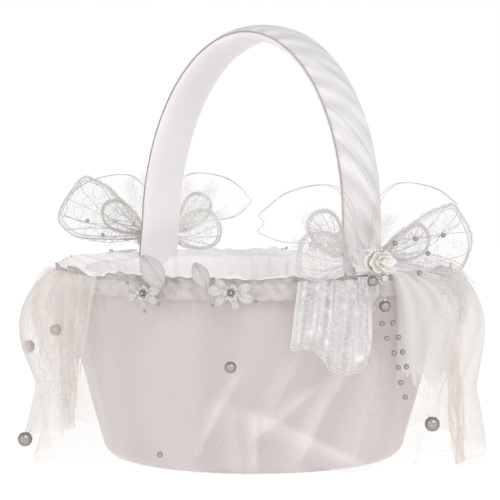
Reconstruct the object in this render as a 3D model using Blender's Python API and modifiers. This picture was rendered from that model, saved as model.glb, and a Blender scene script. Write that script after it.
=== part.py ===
"""A flower girl basket: a padded satin tub, an arched handle, a sheer overskirt and two pearl-trimmed bows.

Run with blender --background --python part.py, or from Blender's text editor. Units are metres and +Z is
up. The origin is the centre of the flat underside. The handle arches over the XZ plane and leans a little
towards +Y, with its feet at +X (the near side) and -X (the far side). Each far_ piece of the trim is the
near_ piece turned half round about Z.
"""

from math import atan, cos, pi, radians, sin

import bmesh
import bpy
from mathutils import Matrix, Vector

MM = 0.001

# Driving dimensions.
BODY_HEIGHT = 103 * MM
WALL_TOP_RADIUS = 105.8 * MM
WALL_BASE_RADIUS = 81 * MM
WALL_BASE_Z = 3.6 * MM
WALL_TOP_Z = 101 * MM
WALL_THICKNESS = 1.8 * MM
COVER_OFFSET = 1.9 * MM
COVER_THICKNESS = 0.9 * MM
COVER_FOLD_RADIUS = 69.5 * MM
PANEL_RADIUS = 77.5 * MM
PANEL_TOP_Z = 0.9 * MM
LINING_TOP_RADIUS = 94.6 * MM
LINING_FLOOR_RADIUS = 74.4 * MM
LINING_FLOOR_Z = 9.6 * MM
LINING_THICKNESS = 0.8 * MM
GAP = 0.3 * MM
ROUND_STEPS = 48

HANDLE_HALF_SPAN = 94.2 * MM
HANDLE_SPRING_Z = 126.5 * MM
HANDLE_RISE = 106.8 * MM
# How far the arch leans towards +Y for each unit of height above its legs.
HANDLE_LEAN = 0.045
HANDLE_LEAN_FROM_Z = 118 * MM
LEG_X = 96.8 * MM
LEG_TOP_X = 95.3 * MM
LEG_TOP_Z = 116 * MM
CORE_WIDTH = 22 * MM
CORE_THICKNESS = 1.4 * MM
WRAP_WIDTH = 27 * MM
WRAP_THICKNESS = 0.7 * MM
FOOT_BOTTOM_Z = 56 * MM
FOOT_BEND_Z = 82 * MM
FOOT_SETBACK = 1.7 * MM
FOOT_TOP_Z = 89 * MM
WRAP_BOTTOM_Z = 96 * MM
RIVET_HEIGHTS = {"lower": 62 * MM, "upper": 76 * MM}
RIVET_SHANK_RADIUS = 1.2 * MM
RIVET_HOLE_RADIUS = 1.5 * MM

SKIRT_TOP_Z = 101 * MM
SKIRT_HEM_Z = 3 * MM
SKIRT_TOP_RADIUS = 112 * MM
SKIRT_HEM_RADIUS = 94.5 * MM
SKIRT_FLARE = 34 * MM
FLARE_ANGLE = 54
SKIRT_FOLDS = 12
FOLD_DEPTH_AT_TOP = 0.4 * MM
FOLD_DEPTH_AT_HEM = 3 * MM
SKIRT_SHEET = 0.8 * MM

BOW = Vector((108 * MM, -6 * MM, 113 * MM))
RIM_TRIM_RADIUS = 114 * MM
HINGE_RADIUS = 114.4 * MM
HINGE_Z = 101.5 * MM
LACE_ANGLE = -15
FLOUNCE_ANGLE = 31
DROP_HINGE = Vector((117 * MM, -2.1 * MM, 103 * MM))
DROP_PEARL_Z = 90 * MM
DROP_PEARL_RADIUS = 3 * MM
BEAD_RADIUS = 1.5 * MM
THREAD_RADIUS = 0.35 * MM
STRAND_SLANT = radians(14)
STRAND_LEAN = radians(8)

# The half turn that each side of the basket stands at.
SIDES = {"near": 0.0, "far": pi}
# The degrees by which the far low leaf stands nearer to its bow than the near one does.
FAR_LEAF_TURN = -6

WALL_SLOPE = (WALL_TOP_RADIUS - WALL_BASE_RADIUS) / (WALL_TOP_Z - WALL_BASE_Z)


def clear_scene():
    for old in list(bpy.data.objects):
        bpy.data.objects.remove(old, do_unlink=True)


def collection(name):
    made = bpy.data.collections.new(name)
    bpy.context.scene.collection.children.link(made)
    return made


def principled(name, colour, roughness, metallic=0.0):
    made = bpy.data.materials.new(name)
    made.use_nodes = True
    shader = made.node_tree.nodes["Principled BSDF"]
    shader.inputs["Base Color"].default_value = (*colour, 1)
    shader.inputs["Roughness"].default_value = roughness
    shader.inputs["Metallic"].default_value = metallic
    return made


def add(name, mesh, material, group=None):
    made = bpy.data.objects.new(name, mesh)
    if material is not None:
        mesh.materials.append(material)
    (group or PARTS).objects.link(made)
    return made


def on_wall(z):
    """The wall's outer radius at height z."""
    return WALL_BASE_RADIUS + (z - WALL_BASE_Z) * WALL_SLOPE


def in_lining(z):
    """The lining's outer radius at height z."""
    share = (z - LINING_FLOOR_Z) / (BODY_HEIGHT + 1 * MM - LINING_FLOOR_Z)
    return LINING_FLOOR_RADIUS + share * (LINING_TOP_RADIUS - LINING_FLOOR_RADIUS)


def turned(name, profile, material, closed=True, steps=ROUND_STEPS):
    """A solid of revolution about Z, from (radius, height) points that run down its outer side."""
    mesh = bpy.data.meshes.new(name)
    ends = len(profile) if closed else len(profile) - 1
    edges = [(i, (i + 1) % len(profile)) for i in range(ends)]
    mesh.from_pydata([(r, 0, z) for r, z in profile], edges, [])
    made = add(name, mesh, material)
    screw = made.modifiers.new("turn", "SCREW")
    screw.axis = "Z"
    screw.steps = steps
    screw.render_steps = steps
    screw.use_merge_vertices = True
    screw.merge_threshold = 0.000005
    screw.use_smooth_shade = True
    return made


def grid_mesh(name, place, cells_u, cells_v, closed_u=False, closed_v=False):
    """A grid whose points are laid out by place(u, v), with u and v from 0 to 1."""
    work = bmesh.new()
    bmesh.ops.create_grid(work, x_segments=cells_u, y_segments=cells_v, size=1)
    side = max(v.co.x for v in work.verts)
    for v in work.verts:
        v.co = place((v.co.x / side + 1) / 2, (v.co.y / side + 1) / 2)
    if closed_u or closed_v:
        bmesh.ops.remove_doubles(work, verts=work.verts, dist=0.01 * MM)
    mesh = bpy.data.meshes.new(name)
    work.to_mesh(mesh)
    work.free()
    mesh.shade_smooth()
    return mesh


def sheet(name, place, cells, thickness, material, closed_u=False, closed_v=False):
    """A soft sheet: a shaped grid with its thickness from Solidify, half on each side."""
    mesh = grid_mesh(name, place, *cells, closed_u, closed_v)
    made = add(name, mesh, material)
    solid = made.modifiers.new("thickness", "SOLIDIFY")
    solid.thickness = thickness
    solid.offset = 0
    solid.use_even_offset = True
    return made


def set_origin(made, point):
    """Moves an object's origin onto its joint, with its shape left where it is."""
    made.data.transform(Matrix.Translation(-Vector(point)))
    made.location = Vector(point)
    return made


def cutter(name, sizes_and_places):
    """One wire object of several closed boxes: each entry is (size, centre)."""
    work = bmesh.new()
    for size, centre in sizes_and_places:
        matrix = Matrix.Translation(centre) @ Matrix.Diagonal((*size, 1))
        bmesh.ops.create_cube(work, size=1, matrix=matrix)
    mesh = bpy.data.meshes.new(name)
    work.to_mesh(mesh)
    work.free()
    return hide_cutter(add(name, mesh, None, CUTTERS))


def hide_cutter(made):
    made.hide_render = True
    made.display_type = "WIRE"
    return made


def cut(made, tool):
    boolean = made.modifiers.new("cut_" + tool.name, "BOOLEAN")
    boolean.operation = "DIFFERENCE"
    boolean.solver = "EXACT"
    boolean.object = tool


# ---------------------------------------------------------------- the tub


def tub():
    base_board_top = WALL_BASE_Z + 2 * MM
    board_radius = on_wall(WALL_BASE_Z) - WALL_THICKNESS - GAP
    turned(
        "base_board",
        [(0, base_board_top), (board_radius, base_board_top), (board_radius, WALL_BASE_Z), (0, WALL_BASE_Z)],
        BOARD,
        closed=False,
    )
    wall = turned(
        "wall_core",
        [
            (WALL_TOP_RADIUS, WALL_TOP_Z),
            (WALL_BASE_RADIUS, WALL_BASE_Z),
            (WALL_BASE_RADIUS - WALL_THICKNESS, WALL_BASE_Z),
            (WALL_TOP_RADIUS - WALL_THICKNESS, WALL_TOP_Z),
        ],
        BOARD,
    )
    turned("outer_satin_cover", cover_profile(), SATIN)
    turned(
        "bottom_satin_panel",
        [
            (0, PANEL_TOP_Z),
            (PANEL_RADIUS - 0.6 * MM, PANEL_TOP_Z),
            (PANEL_RADIUS, PANEL_TOP_Z / 2),
            (PANEL_RADIUS - 0.5 * MM, 0),
            (0, 0),
        ],
        SATIN,
        closed=False,
    )
    padding = turned("wall_padding", padding_profile(base_board_top), FOAM)
    pad_bottom = base_board_top + GAP
    pad_top = LINING_FLOOR_Z - GAP
    pad_radius = LINING_FLOOR_RADIUS - 1.5 * MM
    turned(
        "floor_pad",
        [
            (0, pad_top),
            (pad_radius - 2 * MM, pad_top),
            (pad_radius, pad_top - 1.2 * MM),
            (pad_radius, pad_bottom),
            (0, pad_bottom),
        ],
        FOAM,
        closed=False,
    )
    lining_top = BODY_HEIGHT + 1 * MM
    floor_top = LINING_FLOOR_Z + LINING_THICKNESS
    turned(
        "inner_satin_lining",
        [
            (0, floor_top),
            (LINING_FLOOR_RADIUS - LINING_THICKNESS, floor_top),
            (LINING_TOP_RADIUS - LINING_THICKNESS, lining_top),
            (LINING_TOP_RADIUS, lining_top),
            (LINING_FLOOR_RADIUS, LINING_FLOOR_Z),
            (0, LINING_FLOOR_Z),
        ],
        SATIN,
        closed=False,
    )
    return wall, padding


def cover_profile():
    """The outer satin: down the wall, round the bottom corner and folded under, then back inside itself."""
    top = BODY_HEIGHT
    corner = 8 * MM
    outer = COVER_OFFSET + COVER_THICKNESS
    under_low, under_high = 1.3 * MM, 2.2 * MM
    outside = [(2.9 * MM, 4.2 * MM), (0.9 * MM, 2.2 * MM), (-2 * MM, under_low)]
    inside = [(-2.3 * MM, under_high), (0.4 * MM, 3 * MM), (2 * MM, 4.8 * MM)]
    return [
        (on_wall(top) + outer, top),
        (on_wall(corner) + outer, corner),
        *[(WALL_BASE_RADIUS + step, z) for step, z in outside],
        (COVER_FOLD_RADIUS, under_low),
        (COVER_FOLD_RADIUS, under_high),
        *[(WALL_BASE_RADIUS + step, z) for step, z in inside],
        (on_wall(corner) + COVER_OFFSET, corner),
        (on_wall(top) + COVER_OFFSET, top),
    ]


def padding_profile(bottom):
    """The foam between the wall and the lining."""
    top = WALL_TOP_Z + 1 * MM
    low = bottom + GAP
    inner_low = LINING_FLOOR_Z
    return [
        (on_wall(top) - WALL_THICKNESS - GAP, top),
        (on_wall(low) - WALL_THICKNESS - GAP, low),
        (in_lining(inner_low) + GAP, low),
        (in_lining(inner_low) + GAP, inner_low),
        (in_lining(top) + GAP, top),
    ]


def rim():
    """The wire ring in the rim's hem, and the gathered frill that caps the rim."""
    bpy.ops.mesh.primitive_torus_add(
        major_radius=WALL_TOP_RADIUS - 0.5 * MM,
        minor_radius=0.9 * MM,
        major_segments=ROUND_STEPS,
        minor_segments=6,
        location=(0, 0, WALL_TOP_Z + 1.3 * MM),
    )
    wire = bpy.context.object
    wire.name = "rim_wire"
    wire.data.materials.append(STEEL)
    for group in list(wire.users_collection):
        group.objects.unlink(wire)
    PARTS.objects.link(wire)

    cloth, turn_over = 0.8 * MM, 1.1 * MM
    outer = on_wall(BODY_HEIGHT) + COVER_OFFSET + COVER_THICKNESS + 0.4 * MM + cloth
    top, outer_hem, inner_hem = 106 * MM, 94 * MM, 96 * MM
    inner_top = in_lining(BODY_HEIGHT) - LINING_THICKNESS - GAP
    inner_low = in_lining(inner_hem) - LINING_THICKNESS - GAP
    profile = [
        (outer - turn_over, top),
        (outer, top - turn_over),
        (outer, outer_hem),
        (outer - cloth, outer_hem),
        (outer - cloth, top - cloth),
        (inner_top, top - cloth),
        (inner_top, BODY_HEIGHT),
        (inner_low, inner_hem),
        (inner_low - cloth, inner_hem),
        (inner_top - cloth, top - turn_over),
        (inner_top - cloth + turn_over, top),
    ]
    return turned("rim_frill", profile, SATIN)


def skirt_fold(z, angle):
    """(mean radius, depth of the folds) of the overskirt at a height and an angle in degrees.

    It hugs the tub across the front and the back, and flares out beside each bow.
    """
    share = (SKIRT_TOP_Z - z) / (SKIRT_TOP_Z - SKIRT_HEM_Z)
    hem_radius = SKIRT_HEM_RADIUS + SKIRT_FLARE * cos(radians(angle - FLARE_ANGLE)) ** 2
    mean = SKIRT_TOP_RADIUS + share**1.5 * (hem_radius - SKIRT_TOP_RADIUS)
    return mean, FOLD_DEPTH_AT_TOP + (FOLD_DEPTH_AT_HEM - FOLD_DEPTH_AT_TOP) * share


def outside_skirt(z, angle):
    """A radius just clear of the overskirt for something that hangs from the rim."""
    reach = []
    for height in (z, SKIRT_TOP_Z):
        mean, depth = skirt_fold(height, angle)
        reach.append(mean + depth + SKIRT_SHEET / 2)
    return max(reach)


def overskirt():
    def place(u, v):
        z = SKIRT_TOP_Z + v * (SKIRT_HEM_Z - SKIRT_TOP_Z)
        mean, depth = skirt_fold(z, 360 * u)
        radius = mean + depth * cos(SKIRT_FOLDS * 2 * pi * u)
        return Vector((radius * cos(2 * pi * u), radius * sin(2 * pi * u), z))

    sheet("tulle_overskirt", place, (4 * SKIRT_FOLDS, 4), SKIRT_SHEET, TULLE, closed_u=True)


# ---------------------------------------------------------------- the handle


def handle_path(wrapped):
    """(x, z) points of the handle's centre line, from the near foot over the top to the far foot."""
    foot = [] if wrapped else [
        (on_wall(FOOT_BOTTOM_Z) - WALL_THICKNESS - FOOT_SETBACK, FOOT_BOTTOM_Z),
        (on_wall(FOOT_BEND_Z) - WALL_THICKNESS - FOOT_SETBACK, FOOT_BEND_Z),
        (LEG_X, FOOT_TOP_Z),
    ]
    leg = [(LEG_X, WRAP_BOTTOM_Z), (LEG_X, BODY_HEIGHT + 2 * MM), (LEG_TOP_X, LEG_TOP_Z)]
    steps = 20
    arch = [
        (HANDLE_HALF_SPAN * cos(pi * i / steps), HANDLE_SPRING_Z + HANDLE_RISE * sin(pi * i / steps))
        for i in range(steps + 1)
    ]
    half = foot + leg
    return half + arch + [(-x, z) for x, z in reversed(half)]


def leaned(y, z):
    """Where the leaning arch puts a point of an upright one."""
    return y + HANDLE_LEAN * max(z - HANDLE_LEAN_FROM_Z, 0)


def handle():
    core_path = handle_path(wrapped=False)

    def place_core(u, v):
        x, z = core_path[round(u * (len(core_path) - 1))]
        return Vector((x, leaned((v - 0.5) * CORE_WIDTH, z), z))

    core = sheet("handle_core", place_core, (len(core_path) - 1, 1), CORE_THICKNESS, STEEL)

    wrap_path = handle_path(wrapped=True)
    half_width = (WRAP_WIDTH - WRAP_THICKNESS) / 2
    half_depth = CORE_THICKNESS / 2 + GAP + WRAP_THICKNESS / 2
    corners = [(1, 1), (-1, 1), (-1, -1), (1, -1), (1, 1)]

    def place_wrap(u, v):
        i = round(u * (len(wrap_path) - 1))
        before, after = wrap_path[max(i - 1, 0)], wrap_path[min(i + 1, len(wrap_path) - 1)]
        along = Vector((after[0] - before[0], 0, after[1] - before[1])).normalized()
        outward = Vector((along.z, 0, -along.x))
        side, depth = corners[round(v * 4)]
        x, z = wrap_path[i]
        return Vector((x, leaned(side * half_width, z), z)) + outward * depth * half_depth

    sheet("handle_satin_wrap", place_wrap, (len(wrap_path) - 1, 4), WRAP_THICKNESS, SATIN, closed_v=True)
    return core


def rivets(wall, core):
    """Two rivets hold each foot to the wall. Each axis is square to the sloping wall."""
    tilt = atan(WALL_SLOPE)
    foot_depth = (WALL_THICKNESS + FOOT_SETBACK - CORE_THICKNESS / 2) * cos(tilt) + CORE_THICKNESS
    head_base, head_top = 0.2 * MM, 1.2 * MM
    tail_base, tail_top = -foot_depth - 0.2 * MM, -foot_depth - 1.2 * MM
    profile = [
        (0, head_top),
        (1.6 * MM, head_top - 0.2 * MM),
        (2.5 * MM, head_base + 0.3 * MM),
        (2.5 * MM, head_base),
        (RIVET_SHANK_RADIUS, head_base),
        (RIVET_SHANK_RADIUS, tail_base),
        (2.2 * MM, tail_base),
        (2 * MM, tail_top),
        (0, tail_top),
    ]
    holes = bmesh.new()
    for side, turn in SIDES.items():
        for level, z in RIVET_HEIGHTS.items():
            rivet = turned(f"{side}_{level}_rivet", profile, STEEL, closed=False, steps=8)
            place = (
                Matrix.Rotation(turn, 4, "Z")
                @ Matrix.Translation((on_wall(z), 0, z))
                @ Matrix.Rotation(pi / 2 + tilt, 4, "Y")
            )
            rivet.matrix_world = place
            bmesh.ops.create_cone(
                holes,
                cap_ends=True,
                segments=12,
                radius1=RIVET_HOLE_RADIUS,
                radius2=RIVET_HOLE_RADIUS,
                depth=16 * MM,
                matrix=place,
            )
    mesh = bpy.data.meshes.new("rivet_holes")
    holes.to_mesh(mesh)
    holes.free()
    tool = hide_cutter(add("rivet_holes", mesh, None, CUTTERS))
    cut(wall, tool)
    cut(core, tool)


def foot_openings(padding, frill):
    """The feet pass through slots in the frill, and lie in pockets in the padding."""
    opening_width = WRAP_WIDTH + 1 * MM
    pocket_low, pocket_high = FOOT_BOTTOM_Z - 3 * MM, BODY_HEIGHT + 7 * MM
    pocket_size = (14 * MM, opening_width, pocket_high - pocket_low)
    slot_size = (4.6 * MM, opening_width, 10 * MM)
    pocket_x = LEG_X - 2.5 * MM
    slot_x = LEG_X - 0.3 * MM
    pockets, slots = [], []
    for x_sign in (1, -1):
        pockets.append((pocket_size, Vector((x_sign * pocket_x, 0, (pocket_low + pocket_high) / 2))))
        slots.append((slot_size, Vector((x_sign * slot_x, 0, BODY_HEIGHT + 3 * MM))))
    cut(padding, cutter("foot_pockets", pockets))
    cut(frill, cutter("foot_slots", slots))


# ---------------------------------------------------------------- the bows


def ribbon_loop(name, hand, lift, start, length, throat, spread, depth, offset, material):
    """One bow loop: a ribbon that leaves the knot, turns round at its end and comes back.

    hand is +1 for the loop towards +Y and -1 for the other. lift is the angle it rises at. start and
    length are its ends' distances from the bow's centre, and throat and spread are half the ribbon's
    height at those ends. depth is half the loop's thickness, and offset is how far outwards from the
    bow's centre it lies.
    """

    def place(u, v):
        swell = sin(pi * u)
        reach = start + (length - start) * swell**0.75
        half_height = throat + (spread - throat) * swell**1.3
        across = (v - 0.5) * 2 * half_height
        out = offset + (0.9 * MM + depth * swell**0.5) * cos(pi * u)
        return BOW + Vector(
            (
                out,
                hand * (reach * cos(lift) - across * sin(lift)),
                reach * sin(lift) + across * cos(lift),
            )
        )

    return sheet(name, place, (12, 2), 0.6 * MM, material)


def bow():
    loops = []
    for word, hand, lace_length in (("left", -1, 45 * MM), ("right", 1, 64 * MM)):
        loops.append(
            ribbon_loop(
                f"near_organza_loop_{word}",
                hand,
                lift=radians(24),
                start=10 * MM,
                length=76 * MM,
                throat=4.5 * MM,
                spread=20 * MM,
                depth=2.3 * MM,
                offset=-3.6 * MM,
                material=ORGANZA,
            )
        )
        loops.append(
            ribbon_loop(
                f"near_lace_loop_{word}",
                hand,
                lift=radians(9),
                start=7 * MM,
                length=lace_length,
                throat=4.5 * MM,
                spread=17 * MM,
                depth=2.2 * MM,
                offset=3.6 * MM,
                material=LACE,
            )
        )
    knot_low, knot_high = BOW.z - 6 * MM, BOW.z + 6.6 * MM
    knot_back, knot_front = 100.7 * MM, BOW.x + 7 * MM
    bpy.ops.mesh.primitive_cube_add(
        size=1, location=((knot_back + knot_front) / 2, BOW.y, (knot_low + knot_high) / 2)
    )
    knot = bpy.context.object
    knot.name = "near_bow_knot"
    knot.data.transform(Matrix.Diagonal((knot_front - knot_back, 10 * MM, knot_high - knot_low, 1)))
    bevel = knot.modifiers.new("soft_edges", "BEVEL")
    bevel.width = 2.5 * MM
    bevel.segments = 2
    knot.data.materials.append(ORGANZA)
    for group in list(knot.users_collection):
        group.objects.unlink(knot)
    PARTS.objects.link(knot)
    return [*loops, knot]


def feather_fan():
    """The marabou behind the bow: a flat half round with a lobed edge, standing on the rim."""
    x, low = 99.7 * MM, 106.6 * MM
    root, radius, lobes, lobe_depth = 8 * MM, 46 * MM, 7, 0.06

    def place(u, v):
        angle = pi * u
        lobe = 1 - lobe_depth + lobe_depth * cos(2 * pi * lobes * u)
        reach = root + v * (radius - root) * lobe
        return Vector((x, BOW.y - reach * cos(angle), low + reach * sin(angle)))

    return [sheet("near_feather_fan", place, (21, 2), 1.2 * MM, FEATHER)]


def brooch():
    """A round setting on the knot's face, with a pearl stone standing in it."""
    face = BOW + Vector((7.3 * MM, 0, 0))
    setting_depth = 2 * MM
    rim_radius, seat_radius = 8.4 * MM, 5.6 * MM
    setting = turned(
        "near_brooch_setting",
        [
            (0, 0.9 * MM),
            (seat_radius, 0.9 * MM),
            (seat_radius + 0.4 * MM, setting_depth),
            (rim_radius - 0.8 * MM, setting_depth),
            (rim_radius, setting_depth - 0.9 * MM),
            (rim_radius - 0.4 * MM, 0),
            (0, 0),
        ],
        SILVER,
        closed=False,
        steps=16,
    )
    stone_base, stone_radius = 1.3 * MM, 5.1 * MM
    dome = [
        (stone_radius * sin(radians(angle)), stone_base + stone_radius * cos(radians(angle)))
        for angle in range(0, 91, 18)
    ]
    stone = turned("near_brooch_stone", [*dome, (0, stone_base)], PEARL, closed=False, steps=16)
    for made in (setting, stone):
        made.matrix_world = Matrix.Translation(face) @ Matrix.Rotation(pi / 2, 4, "Y")
    return [setting, stone]


def tail(name, material, angles_top, angles_end, z_ends, cells, offset, hinge_angle):
    """A ribbon end that hangs outside the overskirt.

    angles_top and angles_end are the directions of its two edges, in degrees round the basket, and
    z_ends are the heights its two edges reach down to. Its origin is on its hinge line, which lies level
    and square to the direction of hinge_angle.
    """
    z_top = HINGE_Z - 1.5 * MM

    def place(u, v):
        z_end = z_ends[0] + u * (z_ends[1] - z_ends[0])
        z = z_top + v * (z_end - z_top)
        low = angles_top[0] + v**0.8 * (angles_end[0] - angles_top[0])
        high = angles_top[1] + v**0.8 * (angles_end[1] - angles_top[1])
        angle = low + u * (high - low)
        radius = outside_skirt(z, angle) + offset
        return Vector((radius * cos(radians(angle)), radius * sin(radians(angle)), z))

    made = sheet(name, place, cells, 0.8 * MM, material)
    turn = radians(hinge_angle)
    return set_origin(made, (HINGE_RADIUS * cos(turn), HINGE_RADIUS * sin(turn), HINGE_Z))


def tails():
    """The lace end, and the wide tulle flounce with the folded tail that is fastened beneath it."""
    lace = tail(
        "near_lace_tail", LACE, (-25, -4), (-27, -6), (66 * MM, 52 * MM), (6, 4), 1.4 * MM, LACE_ANGLE
    )
    flounce = tail(
        "near_tulle_flounce", TULLE, (10, 54), (11, 60), (52 * MM, 52 * MM), (9, 3), 3 * MM, FLOUNCE_ANGLE
    )
    folded = tail(
        "near_folded_tail", ORGANZA, (31, 38), (19, 30), (3 * MM, 3 * MM), (3, 5), 1.4 * MM, FLOUNCE_ANGLE
    )
    return [lace, flounce, folded]


def sphere(name, radius, angle, z, material, lift=0.4 * MM):
    """A pearl on the overskirt, at an angle in degrees round the basket."""
    work = bmesh.new()
    bmesh.ops.create_uvsphere(work, u_segments=10, v_segments=7, radius=radius)
    mesh = bpy.data.meshes.new(name)
    work.to_mesh(mesh)
    work.free()
    mesh.shade_smooth()
    made = add(name, mesh, material)
    out = outside_skirt(z, angle) + radius + lift
    made.location = (out * cos(radians(angle)), out * sin(radians(angle)), z)
    return made


def bead_profile(top, centres, radius, bottom):
    """Beads on a thread: each bead is a half circle in the profile, and the thread joins them."""
    points = [(0, top), (THREAD_RADIUS, top)]
    for centre in centres:
        for angle in (16, 62, 118, 164):
            points.append((radius * sin(radians(angle)), centre + radius * cos(radians(angle))))
    return [*points, (THREAD_RADIUS, bottom), (0, bottom)]


def pearl_drop():
    """A pearl on a thread under the brooch, and the two bead strands that hang from it over the skirt."""
    drop_length = DROP_HINGE.z - DROP_PEARL_Z
    drop_end = -drop_length - DROP_PEARL_RADIUS - 0.2 * MM
    profile = bead_profile(0, [-drop_length], DROP_PEARL_RADIUS, drop_end)
    pearl = turned("near_drop_pearl", profile, PEARL, closed=False, steps=10)
    pearl.location = DROP_HINGE

    hinge_z = DROP_PEARL_Z - DROP_PEARL_RADIUS - 0.6 * MM
    first_bead = 5 * MM
    spacing = 8 * MM
    strands = []
    for word, y, beads in (("long", -3.3 * MM, 6), ("short", 3.3 * MM, 4)):
        centres = [-(first_bead + spacing * i) for i in range(beads)]
        bottom = centres[-1] - BEAD_RADIUS - 0.3 * MM
        profile = bead_profile(-0.6 * MM, centres, BEAD_RADIUS, bottom)
        strand = turned(f"near_pearl_strand_{word}", profile, PEARL, closed=False, steps=7)
        strand.location = (DROP_HINGE.x, DROP_HINGE.y + y, hinge_z)
        strand.rotation_euler = (STRAND_SLANT, -STRAND_LEAN, 0)
        strands.append(strand)
    return [pearl, *strands]


# ---------------------------------------------------------------- the rim trim and the skirt pearls


def on_rim(angle, z, lean=0.0, roll=0.0):
    """A place on the rim, with +X pointing outwards, +Y round the basket and +Z up the trim."""
    return (
        Matrix.Rotation(radians(angle), 4, "Z")
        @ Matrix.Translation((RIM_TRIM_RADIUS, 0, z))
        @ Matrix.Rotation(radians(roll), 4, "X")
        @ Matrix.Rotation(radians(lean), 4, "Y")
    )


def leaf(name, angle, z, length, width, roll):
    def place(u, v):
        half = 0.5 * MM + (width / 2 - 0.5 * MM) * sin(pi * u) ** 0.9
        cup = 1.2 * MM * (2 * v - 1) ** 2
        return Vector((cup, (v - 0.5) * 2 * half, u * length))

    made = sheet(name, place, (7, 2), 0.7 * MM, ORGANZA)
    made.matrix_world = on_rim(angle, z, lean=4, roll=roll)
    return made


def blossom(name, angle, z):
    """A five-petalled rosette: a low disc whose radius swells at each petal."""
    petals, petal_depth, radius, height = 5, 0.12, 5.2 * MM, 2.4 * MM
    work = bmesh.new()
    bmesh.ops.create_cone(
        work, cap_ends=True, segments=20, radius1=radius, radius2=radius * 0.62, depth=height
    )
    for v in work.verts:
        turn = v.co.xy.angle_signed(Vector((1, 0)), 0) if v.co.xy.length else 0
        swell = 1 - petal_depth + petal_depth * cos(petals * turn)
        v.co.x *= swell
        v.co.y *= swell
    mesh = bpy.data.meshes.new(name)
    work.to_mesh(mesh)
    work.free()
    made = add(name, mesh, SATIN)
    made.matrix_world = (
        on_rim(angle, z) @ Matrix.Translation((1.6 * MM, 0, 0)) @ Matrix.Rotation(pi / 2, 4, "Y")
    )
    return made


def rim_trim():
    return [
        leaf("near_rim_leaf_tall", -59.5, 101 * MM, 19 * MM, 12 * MM, 35),
        leaf("near_rim_leaf_low", -48, 101 * MM, 14 * MM, 8 * MM, 25),
        blossom("near_rim_blossom_left", -65.5, 97.5 * MM),
        blossom("near_rim_blossom_right", -42, 99 * MM),
    ]


def skirt_pearls():
    """The pearls scattered on the overskirt, and the one on the far flounce."""
    for name, radius, angle, z in (
        ("skirt_pearl_front", 3 * MM, -42, 61 * MM),
        ("skirt_pearl_front_low", 1.5 * MM, -61, 14.5 * MM),
        ("skirt_pearl_left", 3 * MM, -100, 73 * MM),
        ("skirt_pearl_left_low", 4 * MM, -108, 12 * MM),
        ("skirt_pearl_right_low", 4 * MM, 14.6, 26 * MM),
        ("skirt_pearl_back", 3 * MM, 138, 61 * MM),
        ("skirt_pearl_back_right", 3 * MM, 80, 73 * MM),
    ):
        sphere(name, radius, angle, z, PEARL)
    sphere("far_flounce_pearl", 3.5 * MM, -122, 59 * MM, PEARL, lift=4.2 * MM)


def repeat_half_turn_away(pieces):
    """The far half: each near_ piece again, half a turn round Z, sharing its mesh."""
    pivot = bpy.data.objects.new("far_half", None)
    pivot.rotation_euler = (0, 0, pi)
    PARTS.objects.link(pivot)
    for piece in pieces:
        copy = piece.copy()
        copy.name = piece.name.replace("near_", "far_")
        if piece.name == "near_rim_leaf_low":
            copy.matrix_basis = Matrix.Rotation(radians(FAR_LEAF_TURN), 4, "Z") @ piece.matrix_basis
        copy.parent = pivot
        PARTS.objects.link(copy)


clear_scene()
PARTS = collection("flower_girl_basket")
CUTTERS = collection("cutters")
SATIN = principled("white_satin", (0.86, 0.83, 0.82), 0.38)
TULLE = principled("tulle", (0.92, 0.90, 0.88), 0.7)
ORGANZA = principled("organza", (0.93, 0.92, 0.92), 0.45)
LACE = principled("lace", (0.90, 0.89, 0.88), 0.75)
FEATHER = principled("marabou", (0.94, 0.93, 0.92), 0.9)
FOAM = principled("foam_padding", (0.85, 0.84, 0.80), 0.95)
BOARD = principled("fibre_board", (0.62, 0.55, 0.45), 0.9)
STEEL = principled("galvanised_steel", (0.60, 0.60, 0.62), 0.4, 1.0)
SILVER = principled("silver_setting", (0.80, 0.80, 0.78), 0.25, 1.0)
PEARL = principled("faux_pearl", (0.90, 0.87, 0.83), 0.2)

wall_core, wall_padding = tub()
rim_frill = rim()
overskirt()
handle_core = handle()
rivets(wall_core, handle_core)
foot_openings(wall_padding, rim_frill)
skirt_pearls()
near_pieces = [*bow(), *feather_fan(), *brooch(), *tails(), *pearl_drop(), *rim_trim()]
repeat_half_turn_away(near_pieces)
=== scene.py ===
"""The looks of the flower girl basket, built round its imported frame.

Every piece is placed in the frame's own metres. Lengths are in millimetres times MM, or come from the frame's
boxes. The near trim is made at the +X foot of the handle, and the far trim is the same set turned half round,
with its own folds. A surface is told by a place function of (u, v), each from 0 to 1.
"""

from math import cos, pi, radians, sin

import bpy
import numpy as np
from mathutils import Matrix, Vector


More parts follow.
